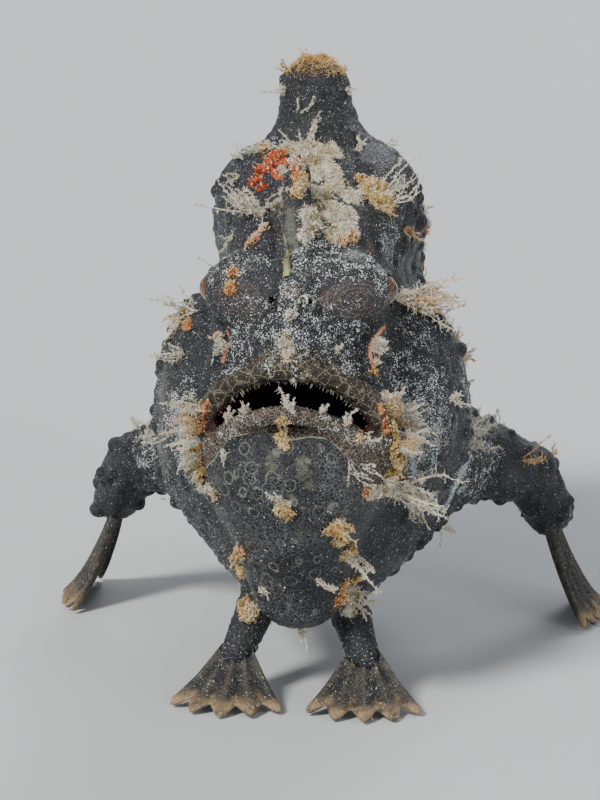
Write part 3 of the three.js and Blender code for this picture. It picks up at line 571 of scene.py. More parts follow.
points, quads = voxel_skin()
body_count = len(points)
out_share, ray_share = [np.zeros(body_count)], [np.zeros(body_count)]
for sheet, faces, out, on_ray in fine_fins():
    quads = np.concatenate([quads, faces + len(points)])
    points = np.concatenate([points, sheet])
    out_share.append(out)
    ray_share.append(on_ray)
out_share, ray_share = np.concatenate(out_share), np.concatenate(ray_share)
is_fin = (np.arange(len(points)) >= body_count).astype(float)
# nothing reaches down to the ground's own level
points[:, 2] = np.maximum(points[:, 2], -AXIS_HEIGHT + 0.02)

# Markings, each with its place in the photograph's 600 x 800 frame and its radius in pixels

PATCHES = {
    "crust": [
        (303, 150, 13), (298, 164, 9), (302, 184, 9), (290, 148, 7), (318, 156, 17), (332, 152, 11),
        (326, 172, 17), (312, 176, 14), (335, 188, 15), (318, 196, 17), (330, 212, 19), (312, 220, 15),
        (346, 215, 14), (350, 230, 13), (336, 236, 12), (306, 236, 9), (352, 196, 13), (366, 190, 9),
        (262, 213, 7), (252, 202, 5), (288, 352, 6), (287, 334, 4), (283, 507, 9), (223, 347, 6),
        (218, 336, 5), (379, 343, 7), (377, 362, 4), (353, 596, 12), (202, 482, 7), (210, 489, 7),
        (216, 494, 6), (370, 493, 7), (380, 490, 6), (398, 492, 8), (410, 500, 7), (408, 300, 8),
        (424, 300, 7), (290, 314, 4), (286, 400, 4), (306, 637, 5), (288, 346, 7), (252, 610, 7),
        (339, 520, 6), (348, 610, 8), (284, 170, 5),
    ],
    "yellow": [
        (375, 197, 13), (386, 204, 11), (372, 184, 8), (384, 188, 8), (285, 148, 9), (264, 148, 8),
        (300, 178, 9), (297, 192, 7), (254, 208, 6), (283, 422, 6), (281, 438, 7), (285, 446, 5),
        (359, 438, 6), (288, 357, 4), (283, 512, 8), (349, 553, 11), (340, 540, 8), (334, 528, 9),
        (287, 262, 4), (287, 272, 4), (243, 572, 10), (248, 612, 10), (356, 580, 6), (404, 300, 6),
    ],
    "orange": [
        (232, 272, 6), (230, 288, 8), (256, 236, 6), (262, 228, 6), (250, 244, 5), (241, 552, 9),
        (342, 598, 12), (346, 584, 9), (352, 238, 7), (342, 242, 6), (188, 325, 7), (374, 372, 4),
        (387, 198, 8), (390, 208, 6), (360, 178, 6), (366, 492, 5),
    ],
    "red": [
        (274, 158, 13), (264, 168, 11), (282, 172, 12), (292, 160, 9), (255, 181, 8), (262, 188, 6),
        (298, 172, 6),
    ],
    "pink": [
        (292, 292, 11), (250, 240, 9), (372, 250, 12), (330, 300, 14),
    ],
    "snow": [
        (290, 335, 42), (330, 325, 40), (250, 325, 36), (300, 300, 30), (350, 262, 36), (310, 262, 26),
        (225, 262, 26), (250, 262, 18), (400, 380, 34), (430, 390, 36), (440, 430, 30), (385, 280, 20),
        (240, 360, 24), (345, 360, 26), (190, 400, 26), (172, 420, 30), (285, 395, 20), (420, 450, 40),
        (230, 420, 18), (225, 432, 14), (262, 422, 12), (330, 426, 16), (352, 440, 14), (366, 458, 20),
        (382, 482, 14), (204, 456, 16), (420, 330, 26), (330, 240, 26), (390, 240, 26), (205, 450, 20),
        (380, 450, 20),
    ],
    "feather": [
        (414, 402, 12), (422, 416, 14), (426, 434, 14), (420, 450, 14), (412, 464, 12), (408, 484, 10),
        (418, 492, 12), (432, 500, 12), (446, 504, 9), (182, 418, 10), (178, 438, 12), (182, 458, 11),
        (192, 478, 9), (206, 488, 9), (412, 300, 12), (428, 299, 11), (444, 297, 9), (190, 318, 8),
        (378, 346, 7), (220, 346, 7), (288, 356, 6), (250, 150, 10), (275, 144, 9), (398, 186, 9),
    ],
    "olive": [
        (270, 455, 9), (271, 466, 10), (269, 478, 7), (302, 462, 10), (304, 474, 11), (308, 486, 8),
        (290, 496, 8), (300, 534, 10), (240, 505, 9), (332, 506, 9), (372, 466, 13), (368, 450, 11),
        (382, 484, 10), (204, 450, 12), (206, 468, 10), (352, 448, 9),
    ],
    # the dark patch at (275, 245) is painted shadow in the hollow beside the second spine
    "dark": [
        (287, 460, 8), (275, 245, 9), (377, 455, 6), (384, 470, 6), (206, 474, 6), (296, 515, 6),
    ],
}
# Long markings: points of a line in the same frame and its half width
TRAILS = {
    "orange": [
        ([(382, 406), (385, 418), (388, 432)], 5),
        ([(393, 444), (396, 458), (394, 470)], 4),
        ([(206, 404), (202, 418), (200, 430)], 5),
        ([(198, 446), (200, 460)], 4),
    ],
    "yellow": [
        ([(391, 404), (395, 418), (397, 434), (398, 450), (399, 466), (391, 479)], 7),
        ([(198, 406), (194, 420), (193, 438), (195, 456), (201, 472)], 6),
    ],
    "crust": [
        ([(386, 398), (401, 410), (409, 424), (411, 440), (407, 456)], 7),
        ([(188, 412), (185, 430), (185, 448), (190, 464), (204, 486)], 6),
        ([(370, 494), (386, 488), (404, 494), (424, 498)], 7),
    ],
}


def resampled(line, count):
    """That many points, evenly spread over the line's own."""
    line = np.asarray(line, float)
    at = np.linspace(0, len(line) - 1, count)
    return np.column_stack([np.interp(at, range(len(line)), column) for column in line.T])


def placed(kind):
    """Centres in mm and radii in mm of a kind of marking."""
    spots = list(PATCHES[kind])
    for path, size in TRAILS.get(kind, []):
        spots += [(x, y, size) for x, y in resampled(path, 4 * len(path))]
    spots = np.array(spots, float)
    centres = seen(spots[:, :2])
    hit = ~np.isnan(centres[:, 0])
    far = np.linalg.norm(centres[hit] - eye_point, axis=1)
    return centres[hit], spots[hit, 2] * PIXEL * far


def nearness(p, centres, radii):
    """1 at a centre, 0 at its radius, negative beyond."""
    best = np.full(len(p), -3.0)
    for c, r in zip(centres, radii):
        best = np.maximum(best, 1 - np.linalg.norm(p - c, axis=1) / r)
    return best


def wild(groups, seed, low, high, each=4):
    """More markings, in ragged groups, on the sides that the photograph doesn't show."""
    rng = np.random.default_rng(seed)
    count = groups * each
    y = np.repeat(rng.uniform(27, 103, groups), each) + rng.normal(size=count) * high * 0.55
    around = np.repeat(rng.uniform(0, 2 * np.pi, groups), each) + rng.normal(size=count) * high * 0.03
    start = stack(bend(y), y, np.zeros(count))
    away = stack(np.cos(around), np.zeros(count), np.sin(around))
    t = np.full(count, 2.0)
    for _ in range(60):
        t = t - np.clip(trunk((start + away * t[:, None]).T), -4, 4) * 0.7
    spots, radii = start + away * t[:, None], rng.uniform(low, high, count)
    hidden = (spots[:, 1] > 52) | ((np.abs(spots[:, 0]) > 19.5) & (spots[:, 2] > -14))
    return spots[hidden], radii[hidden]


# How many more groups of each, the seed, and the least and greatest radius in mm
WILD = {
    "crust": (26, 3, 0.7, 2.8),
    "yellow": (15, 4, 0.6, 1.8),
    "orange": (13, 5, 0.5, 1.7),
    "red": (5, 6, 0.6, 1.7),
    "pink": (10, 7, 2.0, 4.5),
    "snow": (24, 8, 3.0, 10.0),
    "feather": (12, 9, 1.5, 3.5),
    "olive": (12, 10, 1.5, 3.5),
    "dark": (8, 11, 1.0, 2.5),
}


def marking(p, kind):
    centres, radii = placed(kind)
    extra, extra_radii = wild(*WILD[kind])
    return nearness(p, np.concatenate([centres, extra]), np.concatenate([radii, extra_radii]))


def to_curve(p, curve):
    return chain(p.T, curve, [0] * len(curve))


LIP_BAND = [arch(UPPER, a, 1.9, 0.0) for a in ANGLES]
near = {kind: marking(points, kind) for kind in PATCHES}
broken = noise(points, 1.3, 21) * 0.33 + noise(points, 0.55, 22) * 0.2
marks = {kind: fade(value + broken, -0.02, 0.22) for kind, value in near.items()}
to_upper = to_curve(points, LIP_BAND)
to_lower = to_curve(points, LOWER_LIP)
upper_lip, lower_lip = fade(to_upper, 2.9, 2.1), fade(to_lower, 2.6, 2.1)
mirrored = np.column_stack([np.abs(points[:, 0]), points[:, 1:]])
# the salmon rims under the eyes, as lines of the photograph's frame
RIM_EDGES = [
    [(393, 318), (387, 325), (378, 334), (371, 344), (370, 355), (373, 366), (377, 376)],
    [(226, 330), (229, 340), (227, 352), (222, 362)],
]


def traced(path, steps=6):
    """Points on the skin of the face along a line of the photograph's frame."""
    line = seen(resampled(path, steps * (len(path) - 1) + 1))
    return line[line[:, 1] < 16]


to_rim = np.minimum(*[to_curve(points, traced(edge)) for edge in RIM_EDGES])
shown_x, shown_y = pixel_of(points)
to_corner = to_curve(mirrored, CORNER)
inside = fade(maw(points.T), 0.9, 0.2) * fade(points[:, 1], 2.0, 6.0)
inside *= (1 - fade(to_curve(points, UPPER_LIP), 1.9, 1.6)) * (1 - fade(to_lower, 1.8, 1.5))
inside *= 1 - fade(mirrored[:, 0], 8.8, 10.2) * fade(points[:, 2], 0.6, -0.8)
# how far below the edge of the lower lip, which the photograph shows as two flat arches
LIP_EDGE_X = (193, 205, 218, 230, 257, 276, 285, 296, 310, 325, 336, 342, 356, 385, 395)
LIP_EDGE_Y = (492, 472, 452, 437, 432, 434, 440, 438, 436, 438, 445, 452, 465, 500, 512)
below_lip = (shown_y - np.interp(shown_x, LIP_EDGE_X, LIP_EDGE_Y)) * PIXEL * CAMERA_DISTANCE
inside *= 1 - fade(below_lip, -2.6, -1.8) * fade(points[:, 1], 7.0, 5.5)
below_lip = np.maximum(below_lip, -1.5) + 4 * inside
below_lip += 4 * fade(to_lower, 4.4, 5.2) + 4 * fade(to_lower - to_upper, -0.6, 0.4)
# how far from the second spine's middle line, in half widths, as the photograph shows it
SPINE_Y = (188, 200, 232, 256)
column = (shown_x - np.interp(shown_y, SPINE_Y, (281, 282, 289, 290))) / np.interp(
    shown_y, SPINE_Y, (16, 17, 13, 15)
)
column += 9 * (fade(shown_y, 258, 264) + fade(shown_y, 194, 188) + fade(points[:, 1], 24, 26))
chin = fade(np.abs(jaw(points.T)), 1.4, 0.5) * (1 - is_fin)
oval = np.minimum(
    np.hypot((shown_x - 357) / 33, (shown_y - 299) / 21),
    np.hypot((shown_x - 236) / 24, (shown_y - 297) / 19),
)
oval = np.where(points[:, 1] < 24, oval, 3)

# Relief: folds, lumps and warts, pushed out along the normal
body_points = points[:body_count]
normals = gradient(body_points, flesh)
calm = (1 - upper_lip) * (1 - 0.8 * lower_lip) * (1 - inside)
eye_near = np.linalg.norm(mirrored - EYE, axis=1)
calm = (calm * fade(eye_near, 3.4, 5.0))[:body_count]
lump = noise(body_points, 7.0, 31) * 0.45 + noise(body_points, 3.2, 32) * 0.25
wart_gap, wart_kind = cells(body_points, 3.4, 33)
warts = np.maximum(0, 1 - (wart_gap / (0.5 + 1.2 * wart_kind)) ** 2) * (0.25 + 0.5 * wart_kind)
small_gap, small_kind = cells(body_points, 1.3, 34)
small = np.maximum(0, 1 - (small_gap / 0.5) ** 2) * 0.16 * (small_kind > 0.4)
crusty = np.maximum.reduce(
    [marks["crust"], 0.9 * marks["yellow"], 0.7 * marks["red"], 0.8 * marks["orange"]]
)[:body_count]
heap = np.maximum.reduce([near[k] for k in ("crust", "yellow", "orange", "red")])[:body_count]
rough = noise(body_points, 0.9, 35) * 0.35 + noise(body_points, 2.1, 36) * 0.3 + 0.4
rough = (rough + 0.5 * np.clip(heap, 0, 0.6)) * crusty
slant = body_points[:, 2] * 0.55 - body_points[:, 1] * 0.8 + noise(body_points, 9.0, 37) * 2.5
flank = fade(body_points[:, 1], 22, 30) * fade(np.abs(body_points[:, 0]), 11, 17)
folds = (np.abs(np.sin(slant * 0.55)) ** 0.7 - 0.7) * 0.9 * flank * fade(body_points[:, 2], -26, -12)
height = (lump * (0.35 + 0.65 * flank) + warts * (0.8 + 0.8 * flank) + folds) * calm + small * calm
height += rough * (0.35 + 0.65 * calm) - 0.12
clear = fade(body_points[:, 2], -42.5, -39)
points[:body_count] += normals * (height * clear)[:, None]

skin = make_mesh("skin", points, quads)
front = fade(points[:, 1], 60, 20)
ringed = 0.4 + 0.6 * fade(oval, 0.8, 1.2)
for name, values in {
    **{kind: value for kind, value in near.items() if kind not in ("snow", "feather")},
    "snow": np.clip((marks["snow"] * ringed + 0.1 + 0.15 * front) * (1 - 0.8 * chin), 0, 1),
    "lip": to_upper,
    "low": below_lip,
    "rim": to_rim,
    "column": column,
    "corner": to_corner,
    "oval": oval,
    "maw": inside,
    "chin": chin,
    "fin": is_fin,
    "ray": ray_share,
    "tip": is_fin * fade(out_share, 0.72, 1.0),
}.items():
    attribute(skin, name, values)
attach(skin, "root")
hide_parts(*[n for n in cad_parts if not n.startswith("eye")])


# Materials


class Shader:
    """A material's node graph, built up by calls that return output sockets.

    A number, a colour or a socket may be given wherever there is an input, and a string for a
    value that is stored on the mesh under that name.
    """

    def __init__(self, name):
        self.material = bpy.data.materials.new(name)
        self.material.use_nodes = True
        self.tree = self.material.node_tree
        self.shader = self.tree.nodes["Principled BSDF"]
        self.place = self.tree.nodes.new("ShaderNodeTexCoord").outputs["Object"]
        self.colour = None

    def fill(self, socket, value):
        if isinstance(value, str):
            value = self.add("ShaderNodeAttribute", {}, "Fac", attribute_name=value)
        if isinstance(value, bpy.types.NodeSocket):
            self.tree.links.new(value, socket)
        elif isinstance(value, tuple):
            socket.default_value = (*value, 1)
        else:
            socket.default_value = value

    def add(self, kind, inputs, output=0, **settings):
        node = self.tree.nodes.new(kind)
        for key, value in settings.items():
            setattr(node, key, value)
        for key, value in inputs.items():
            self.fill(node.inputs[key], value)
        return node.outputs[output]

    def noise(self, size, detail=4, roughness=0.6):
        inputs = {"Vector": self.place, "Scale": 1000 / size, "Detail": detail, "Roughness": roughness}
        return self.add("ShaderNodeTexNoise", inputs, "Fac")

    def cells(self, size, feature="F1", output="Distance", vector=None):
        inputs = {"Vector": vector or self.place, "Scale": 1000 / size}
        return self.add("ShaderNodeTexVoronoi", inputs, output, feature=feature)

    def math(self, operation, a, b=0.0):
        return self.add("ShaderNodeMath", {0: a, 1: b}, operation=operation)

    def times(self, *values):
        product = values[0]
        for value in values[1:]:
            product = self.math("MULTIPLY", product, value)
        return product

    def plus(self, a, b):
        return self.math("ADD", a, b)

    def most(self, *values):
        highest = values[0]
        for value in values[1:]:
            highest = self.math("MAXIMUM", highest, value)
        return highest

    def range(self, value, low, high, to_low=0.0, to_high=1.0):
        inputs = {"Value": value, "From Min": low, "From Max": high, "To Min": to_low, "To Max": to_high}
        return self.add("ShaderNodeMapRange", inputs, interpolation_type="SMOOTHSTEP")

    def band(self, value, start, full, still, end):
        """1 from full to still, and 0 before start and after end."""
        return self.times(self.range(value, start, full), self.range(value, end, still))

    def mix(self, share, a, b):
        return self.add("ShaderNodeMix", {0: share, 6: a, 7: b}, 2, data_type="RGBA")

    def lay(self, share, tone):
        """Covers a share of the colour so far with a tone."""
        self.colour = self.mix(share, self.colour, tone)

    def bump(self, height, distance, under=None):
        inputs = {"Height": height, "Distance": distance / 1000, "Strength": 1.0}
        if under is not None:
            inputs["Normal"] = under
        return self.add("ShaderNodeBump", inputs)

    def set(self, **inputs):
        for key, value in inputs.items():
            self.fill(self.shader.inputs[key.replace("_", " ")], value)


PITCH = (0.002, 0.002, 0.003)


def skin_material():
    g = Shader("skin")
    broad, middle, fine = g.noise(9), g.noise(2.6, 5), g.noise(0.5, 4, 0.7)
    grit = g.cells(0.36)
    pit = g.range(g.plus(grit, g.times(fine, 0.4)), 0.35, 0.85)
    shade = g.mix(g.range(broad, 0.35, 0.65), (0.006, 0.0075, 0.011), (0.021, 0.025, 0.031))
    shade = g.mix(g.range(middle, 0.5, 0.7, 0, 0.6), shade, (0.032, 0.029, 0.026))
    # paler on the grit's grains and near black in the pits between them, where the bump sinks too: painted
    # shade in the pits
    g.colour = g.mix(pit, g.mix(0.25, shade, (0.050, 0.058, 0.070)), g.mix(0.75, shade, PITCH))
    # round dark spots with pale rings, and a net of pale lines, most of all on the chin
    stir = g.add("ShaderNodeTexNoise", {"Vector": g.place, "Scale": 600.0}, "Color")
    bent = g.add("ShaderNodeVectorMath", {0: g.place, 1: stir}, operation="ADD")
    wavy = g.add("ShaderNodeMix", {0: 0.0006, 4: g.place, 5: bent}, 1, data_type="VECTOR")
    spot = g.cells(2.6, vector=wavy)
    core = g.range(spot, 0.34, 0.26)
    ring = g.band(spot, 0.30, 0.34, 0.37, 0.42)
    web = g.range(g.cells(0.62, "DISTANCE_TO_EDGE", vector=wavy), 0.15, 0.02)
    olive = g.range(g.plus("olive", g.times(g.noise(1.6, 5, 0.7), 2.2)), 1.25, 1.75)
    g.lay(g.times(olive, g.range(fine, 0.3, 0.6, 0.3, 0.9)), (0.085, 0.083, 0.052))
    share = g.plus(g.times("chin", 0.86), 0.12)
    g.lay(g.times(core, share, 0.8), (0.003, 0.003, 0.005))
    g.lay(g.times(ring, share, g.range(middle, 0.36, 0.58, 0.15, 0.9)), (0.135, 0.135, 0.115))
    g.lay(g.times(web, share, g.range(broad, 0.4, 0.6, 0.25, 0.8)), (0.095, 0.10, 0.10))
    # near black under the dark patches, which beside the second spine is painted shadow
    g.lay(g.times(g.range(g.plus("dark", g.times(middle, 0.6)), 0.3, 0.6), 0.9), PITCH)
    # the second spine is greyer than the hollow at its side, where a near-black band is painted shadow
    g.lay(g.times(g.band("column", -1.9, -1.35, -1.0, -0.85), 0.9), PITCH)
    shaft = g.band("column", -1.02, -0.92, 0.9, 1.05)
    clear = g.times(g.band("column", -0.7, 0.1, 0.3, 0.8), g.range(middle, 0.4, 0.6))
    shaft_tone = g.mix(clear, (0.022, 0.022, 0.022), (0.10, 0.10, 0.088))
    shaft_tone = g.mix(g.range(g.noise(0.35, 2), 0.6, 0.7, 0, 0.7), shaft_tone, (0.14, 0.14, 0.12))
    g.lay(g.times(shaft, 0.85), shaft_tone)
    # fins: a warm edge, and darker between the rays
    fin_tone = g.mix(g.range(middle, 0.4, 0.65), (0.012, 0.012, 0.014), (0.06, 0.05, 0.04))
    g.lay(g.times("fin", 0.6), fin_tone)
    g.lay(g.times("ray", g.range(fine, 0.4, 0.6, 0.1, 0.6)), (0.11, 0.095, 0.07))
    g.lay(g.times("tip", g.range(middle, 0.35, 0.6, 0.1, 0.7)), (0.40, 0.27, 0.13))
    # faint rosy patches, and two ovals of rings on the brow
    g.lay(g.times(g.range("pink", 0.0, 0.4), 0.45), (0.12, 0.065, 0.055))
    rings = g.range(g.math("SINE", g.plus(g.times("oval", 30.0), g.times(middle, 9.0))), 0.2, 1.0)
    oval_tone = g.mix(g.times(rings, 0.6), (0.042, 0.034, 0.036), (0.17, 0.115, 0.105))
    oval_tone = g.mix(g.range(g.cells(1.1), 0.32, 0.2, 0, 0.8), oval_tone, (0.008, 0.007, 0.009))
    g.lay(g.times(g.range("oval", 1.12, 0.85), g.range(grit, 0.75, 0.3, 0.45, 0.85)), oval_tone)
    # lips, the corners' folds and the rim under each eye
    comb = g.cells(1.5, "DISTANCE_TO_EDGE", vector=wavy)
    walls = g.range(comb, 0.085, 0.015)
    lip = g.range(g.plus("lip", g.times(middle, 0.8)), 3.0, 2.75)
    honey = g.mix(g.range(comb, 0.1, 0.4), (0.030, 0.022, 0.012), (0.012, 0.006, 0.004))
    honey = g.mix(g.times(walls, g.range(fine, 0.3, 0.6, 0.35, 1.0)), honey, (0.18, 0.16, 0.11))
    g.lay(lip, honey)
    low = g.range(g.plus("low", g.times(fine, 0.3)), 0.3, 0.1)
    brown = g.mix(g.range(fine, 0.4, 0.65), (0.016, 0.009, 0.006), (0.075, 0.045, 0.028))
    brown = g.mix(g.range(g.cells(1.3, vector=wavy), 0.34, 0.24, 0, 0.8), brown, (0.010, 0.006, 0.005))
    brown = g.mix(g.times(web, 0.7), brown, (0.20, 0.17, 0.13))
    g.lay(g.times(low, 0.9), brown)
    line = g.band("low", -0.1, 0.05, 0.1, 0.24)
    g.lay(g.times(line, g.range(middle, 0.4, 0.55, 0.15, 0.85)), (0.28, 0.28, 0.2))
    g.lay(g.times(g.range("corner", 1.6, 0.9), 0.6), (0.07, 0.05, 0.03))
    g.lay(g.times(g.range("corner", 0.5, 0.2), g.range(middle, 0.4, 0.6)), (0.36, 0.31, 0.2))
    salmon = g.range(g.plus("rim", g.times(fine, 0.7)), 0.72, 0.48)
    g.lay(g.times(salmon, 0.85), g.mix(fine, (0.34, 0.06, 0.015), (0.70, 0.33, 0.17)))
    # pale granules, thick where the skin is snowy
    clump = g.range(g.noise(1.7, 3), 0.40, 0.62)
    sparse = g.plus(0.71, g.times(-0.16, "snow", g.plus(0.25, clump)))
    grain = g.range(g.math("SUBTRACT", g.noise(0.23, 1.0, 0.5), sparse), 0.0, 0.035)
    g.lay(grain, g.mix(middle, (0.36, 0.42, 0.46), (0.66, 0.66, 0.58)))
    # crusts: ragged edges, mottled by their own grain, and darker where that grain's bump sinks: painted
    # shade in its hollows
    crumb = g.noise(0.8, 5, 0.75)
    ragged = g.plus(g.times(crumb, 2.0), g.plus(g.times(fine, 0.7), -1.33))
    crumb_shade = g.range(crumb, 0.56, 0.42)
    chalk = g.mix(g.range(middle, 0.42, 0.6), (0.42, 0.34, 0.17), (0.70, 0.66, 0.55))
    chalk = g.mix(g.range(broad, 0.55, 0.68, 0, 0.6), chalk, (0.62, 0.36, 0.27))
    amber = g.mix(g.range(crumb, 0.4, 0.62), (0.30, 0.15, 0.015), (0.72, 0.55, 0.19))
    rust = g.mix(g.range(crumb, 0.4, 0.62), (0.34, 0.05, 0.006), (0.66, 0.30, 0.11))
    blood = g.mix(g.range(crumb, 0.38, 0.66), (0.42, 0.010, 0.003), (0.75, 0.16, 0.035))
    edges = []
    for kind, tone in (("crust", chalk), ("orange", rust), ("yellow", amber), ("red", blood)):
        edges.append(g.range(g.plus(kind, ragged), -0.03, 0.05))
        # painted shade: each tone darkened towards near black in the hollows of the crumb's bump
        tone = g.mix(g.times(crumb_shade, 0.75), tone, g.mix(0.8, tone, (0.03, 0.02, 0.012)))
        g.lay(edges[-1], tone)
    gum = g.mix(g.range(broad, 0.4, 0.6), (0.012, 0.002, 0.002), (0.045, 0.006, 0.004))
    g.lay("maw", gum)
    # the grain stands out, and the crusts are duller than the wet skin
    crusted = g.most(*edges)
    relief = g.plus(g.times(pit, -0.8), g.plus(g.times(fine, 0.8), grain))
    relief = g.plus(relief, g.times(walls, lip, 1.5))
    normal = g.bump(relief, 0.10)
    normal = g.bump(g.times(crumb, g.plus(g.times(crusted, 2.5), 0.8)), 0.28, normal)
    roughness = g.range(crusted, 0.0, 1.0, 0.42, 0.9)
    g.set(Base_Color=g.colour, Roughness=roughness, Normal=normal, Specular_IOR_Level=0.34)
    return g.material


skin.data.materials.append(skin_material())


def eye_material():
    g = Shader("eye")
    x, y = g.add("ShaderNodeSeparateXYZ", {0: g.place}).node.outputs[:2]
    out = g.math("SQRT", g.plus(g.times(x, x), g.times(y, y)))
    out = g.times(out, 1000 / EYE_RADIUS)
    angle = g.math("ARCTAN2", y, x)
    wave = g.math("SINE", g.plus(g.times(angle, 34.0), g.times(g.noise(0.7), 7.0)))
    iris = g.mix(g.range(wave, 0.1, 0.85), (0.004, 0.004, 0.004), (0.36, 0.11, 0.012))
    iris = g.mix(g.range(g.noise(0.4), 0.56, 0.7), iris, (0.48, 0.26, 0.07))
    iris = g.mix(g.range(g.noise(1.3), 0.44, 0.6, 0.0, 0.9), iris, (0.008, 0.007, 0.007))
    iris = g.mix(g.range(out, 0.34, 0.37), (0.16, 0.08, 0.02), iris)
    iris = g.mix(g.range(out, 0.31, 0.33), PITCH, iris)
    iris = g.mix(g.range(out, 0.80, 0.94), iris, (0.045, 0.05, 0.055))
    g.set(Base_Color=iris, Roughness=0.12, Coat_Weight=1.0, Coat_Roughness=0.03)
    return g.material


eye_look = eye_material()
for side, name in ((1, "eye_left"), (-1, "eye_right")):
    turn = Vector(EYE_AXIS * (side, 1, 1)).normalized().to_track_quat("Z", "Y")
    bpy.ops.mesh.primitive_uv_sphere_add(segments=48, ring_count=32, radius=EYE_RADIUS / 1000 * 0.995)
    ball = bpy.context.object
    ball.name = "fine_" + name
    for vertex in ball.data.vertices:
        # a slightly raised cornea over the iris
        share = max(0.0, vertex.co.z * 1000 / EYE_RADIUS - 0.75) / 0.25
        vertex.co.z += 0.00018 * share * share
    ball.data.polygons.foreach_set("use_smooth", [True] * len(ball.data.polygons))
    ball.matrix_world = Matrix.Translation(to_row(EYE * (side, 1, 1))) @ turn.to_matrix().to_4x4()
    ball.data.materials.append(eye_look)
    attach(ball, "root")
    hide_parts(name)

# Granules, skin flaps and filaments, as joined meshes

rng = np.random.default_rng(SEED)


def unwrap(p):
    """A place on an unwrap of the body: round it, and along it."""
    around = np.arctan2(p[:, 0] - bend(p[:, 1]), p[:, 2])
    return np.column_stack([0.5 + around / (2 * np.pi) * 0.97, np.clip((p[:, 1] + 10) / 165, 0.01, 0.99)])


def unit(v):
    return v / np.maximum(np.linalg.norm(v, axis=-1), 1e-9)[..., None]


def across(direction):
    """Two unit vectors square to each direction, turned at random."""
    first = unit(np.cross(direction, rng.normal(size=direction.shape)))
    return first, np.cross(direction, first)


class Coat:
    """Small pieces gathered into meshes, each with its root's place on the unwrap."""

    def __init__(self):
        self.batches = []

    def gather(self, points, faces, roots, patch, share):
        """points is (n, k, 3) for n pieces of k points; faces is (f, 3) within a piece."""
        places = unwrap(np.broadcast_to(roots, (len(points), 3)))[:, None, :] + patch[None]
        self.batches.append((points, faces, places, share, rng.random(len(points))))

    def granules(self, centres, normals, sizes, roots=None):
        """Small pointed grains, seated in what they grow on."""
        one, two = across(normals)
        turns = np.array([0, 2.1, 4.2])
        stretch = rng.uniform(0.6, 1.3, (len(sizes), 3))
        ring = (
            centres[:, None]
            + one[:, None] * (np.cos(turns) * sizes[:, None] * stretch)[..., None]
            + two[:, None] * (np.sin(turns) * sizes[:, None] * stretch)[..., None]
            - normals[:, None] * (sizes * 0.35)[:, None, None]
        )
        lean = rng.normal(size=centres.shape) * sizes[:, None] * 0.35
        top = centres + normals * (sizes * rng.uniform(0.5, 1.3, len(sizes)))[:, None] + lean
        made = np.concatenate([ring, top[:, None]], axis=1)
        faces = np.array([[0, 1, 3], [1, 2, 3], [2, 0, 3]])
        patch = np.array([[-1, -1], [1, -1], [0, 1], [0, 0]]) * 0.0012
        share = np.array([0.4, 0.4, 0.4, 1.0])
        self.gather(made, faces, centres if roots is None else roots, patch, share)

    def tubes(self, line, width, roots=None, sides=3):
        """Tubes along lines (n, k, 3) whose radii are width (k)."""
        n, steps = line.shape[:2]
        one, two = across(unit(line[:, -1] - line[:, 0]))
        turns = 2 * np.pi * np.arange(sides) / sides
        spoke = one[:, None] * np.cos(turns)[None, :, None] + two[:, None] * np.sin(turns)[None, :, None]
        rings = line[:, :, None] + spoke[:, None] * width[None, :, None, None]
        faces = []
        for k, j in product(range(steps - 1), range(sides)):
            a, b = k * sides + j, k * sides + (j + 1) % sides
            faces += [[a, b, b + sides], [a, b + sides, a + sides]]
        last = (steps - 1) * sides
        faces += [[last, last + j, last + j + 1] for j in range(1, sides - 1)]
        share = np.repeat(np.linspace(0, 1, steps), sides)
        patch = np.column_stack([np.tile(np.linspace(-1, 1, sides), steps), share * 2 - 1]) * 0.0014
        made = rings.reshape(n, steps * sides, 3)
        self.gather(made, np.array(faces), line[:, 0] if roots is None else roots, patch, share)

    def groups(self):
        """The batches dealt into groups of at most MOST triangles."""
        groups, room = [[]], MOST
        for points, faces, places, share, tints in self.batches:
            while len(points):
                take = room // len(faces)
                if take == 0:
                    groups.append([])
                    room = MOST
                    continue
                groups[-1].append((points[:take], faces, places[:take], share, tints[:take]))
                room -= min(take, len(points)) * len(faces)
                points, places, tints = points[take:], places[take:], tints[take:]
        return groups

    def pieces(self, name, material):
        groups = self.groups()
        for number, group in enumerate(groups, 1):
            join(name if len(groups) == 1 else f"{name}_{number}", group, material)


def join(name, group, material):
    """One mesh of a group of batches."""
    rows, count = [], 0
    for points, faces, places, share, tints in group:
        n, k = points.shape[:2]
        faces = faces[None] + count + np.arange(n)[:, None, None] * k
        flat = points.reshape(-1, 3), faces.reshape(-1, 3), places.reshape(-1, 2)
        rows.append((*flat, np.tile(share, n), np.repeat(tints, k)))
        count += n * k
    points, faces, places, shares, tints = map(np.concatenate, zip(*rows))
    made = make_mesh(name, points, faces, smooth=False)
    attribute(made, "share", shares)
    attribute(made, "tint", tints)
    layer = made.data.uv_layers.new(name="OFBake")
    index = np.empty(len(made.data.loops), np.int32)
    made.data.loops.foreach_get("vertex_index", index)
    layer.data.foreach_set("uv", places[index].astype(np.float32).ravel())
    made.data.materials.append(material)
    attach(made, "root")


def grow(start, heading, length, steps, wander, pull=None):
    """Wandering lines from each start."""
    line = [start]
    for _ in range(steps - 1):
        heading = heading + rng.normal(size=heading.shape) * wander
        heading = unit(heading if pull is None else heading + pull)
        line.append(line[-1] + heading * (length / (steps - 1))[:, None])
    return np.stack(line, axis=1)


def taper(steps, thick, end=0.3):
    return thick * np.linspace(1, end, steps)


def shoots(line, each, length, spread=0.8, steps=4):
    """Side shoots on random points of the lines."""
    n, k = line.shape[:2]
    which = np.repeat(np.arange(n), each)
    at = rng.integers(1, k, len(which))
    along = unit(line[which, at] - line[which, at - 1])
    share = rng.random(len(which))[:, None]
    base = line[which, at - 1] * share + line[which, at] * (1 - share)
    heading = unit(along + rng.normal(size=along.shape) * spread)
    return grow(base, heading, length * rng.uniform(0.4, 1.3, len(which)), steps, 0.4)


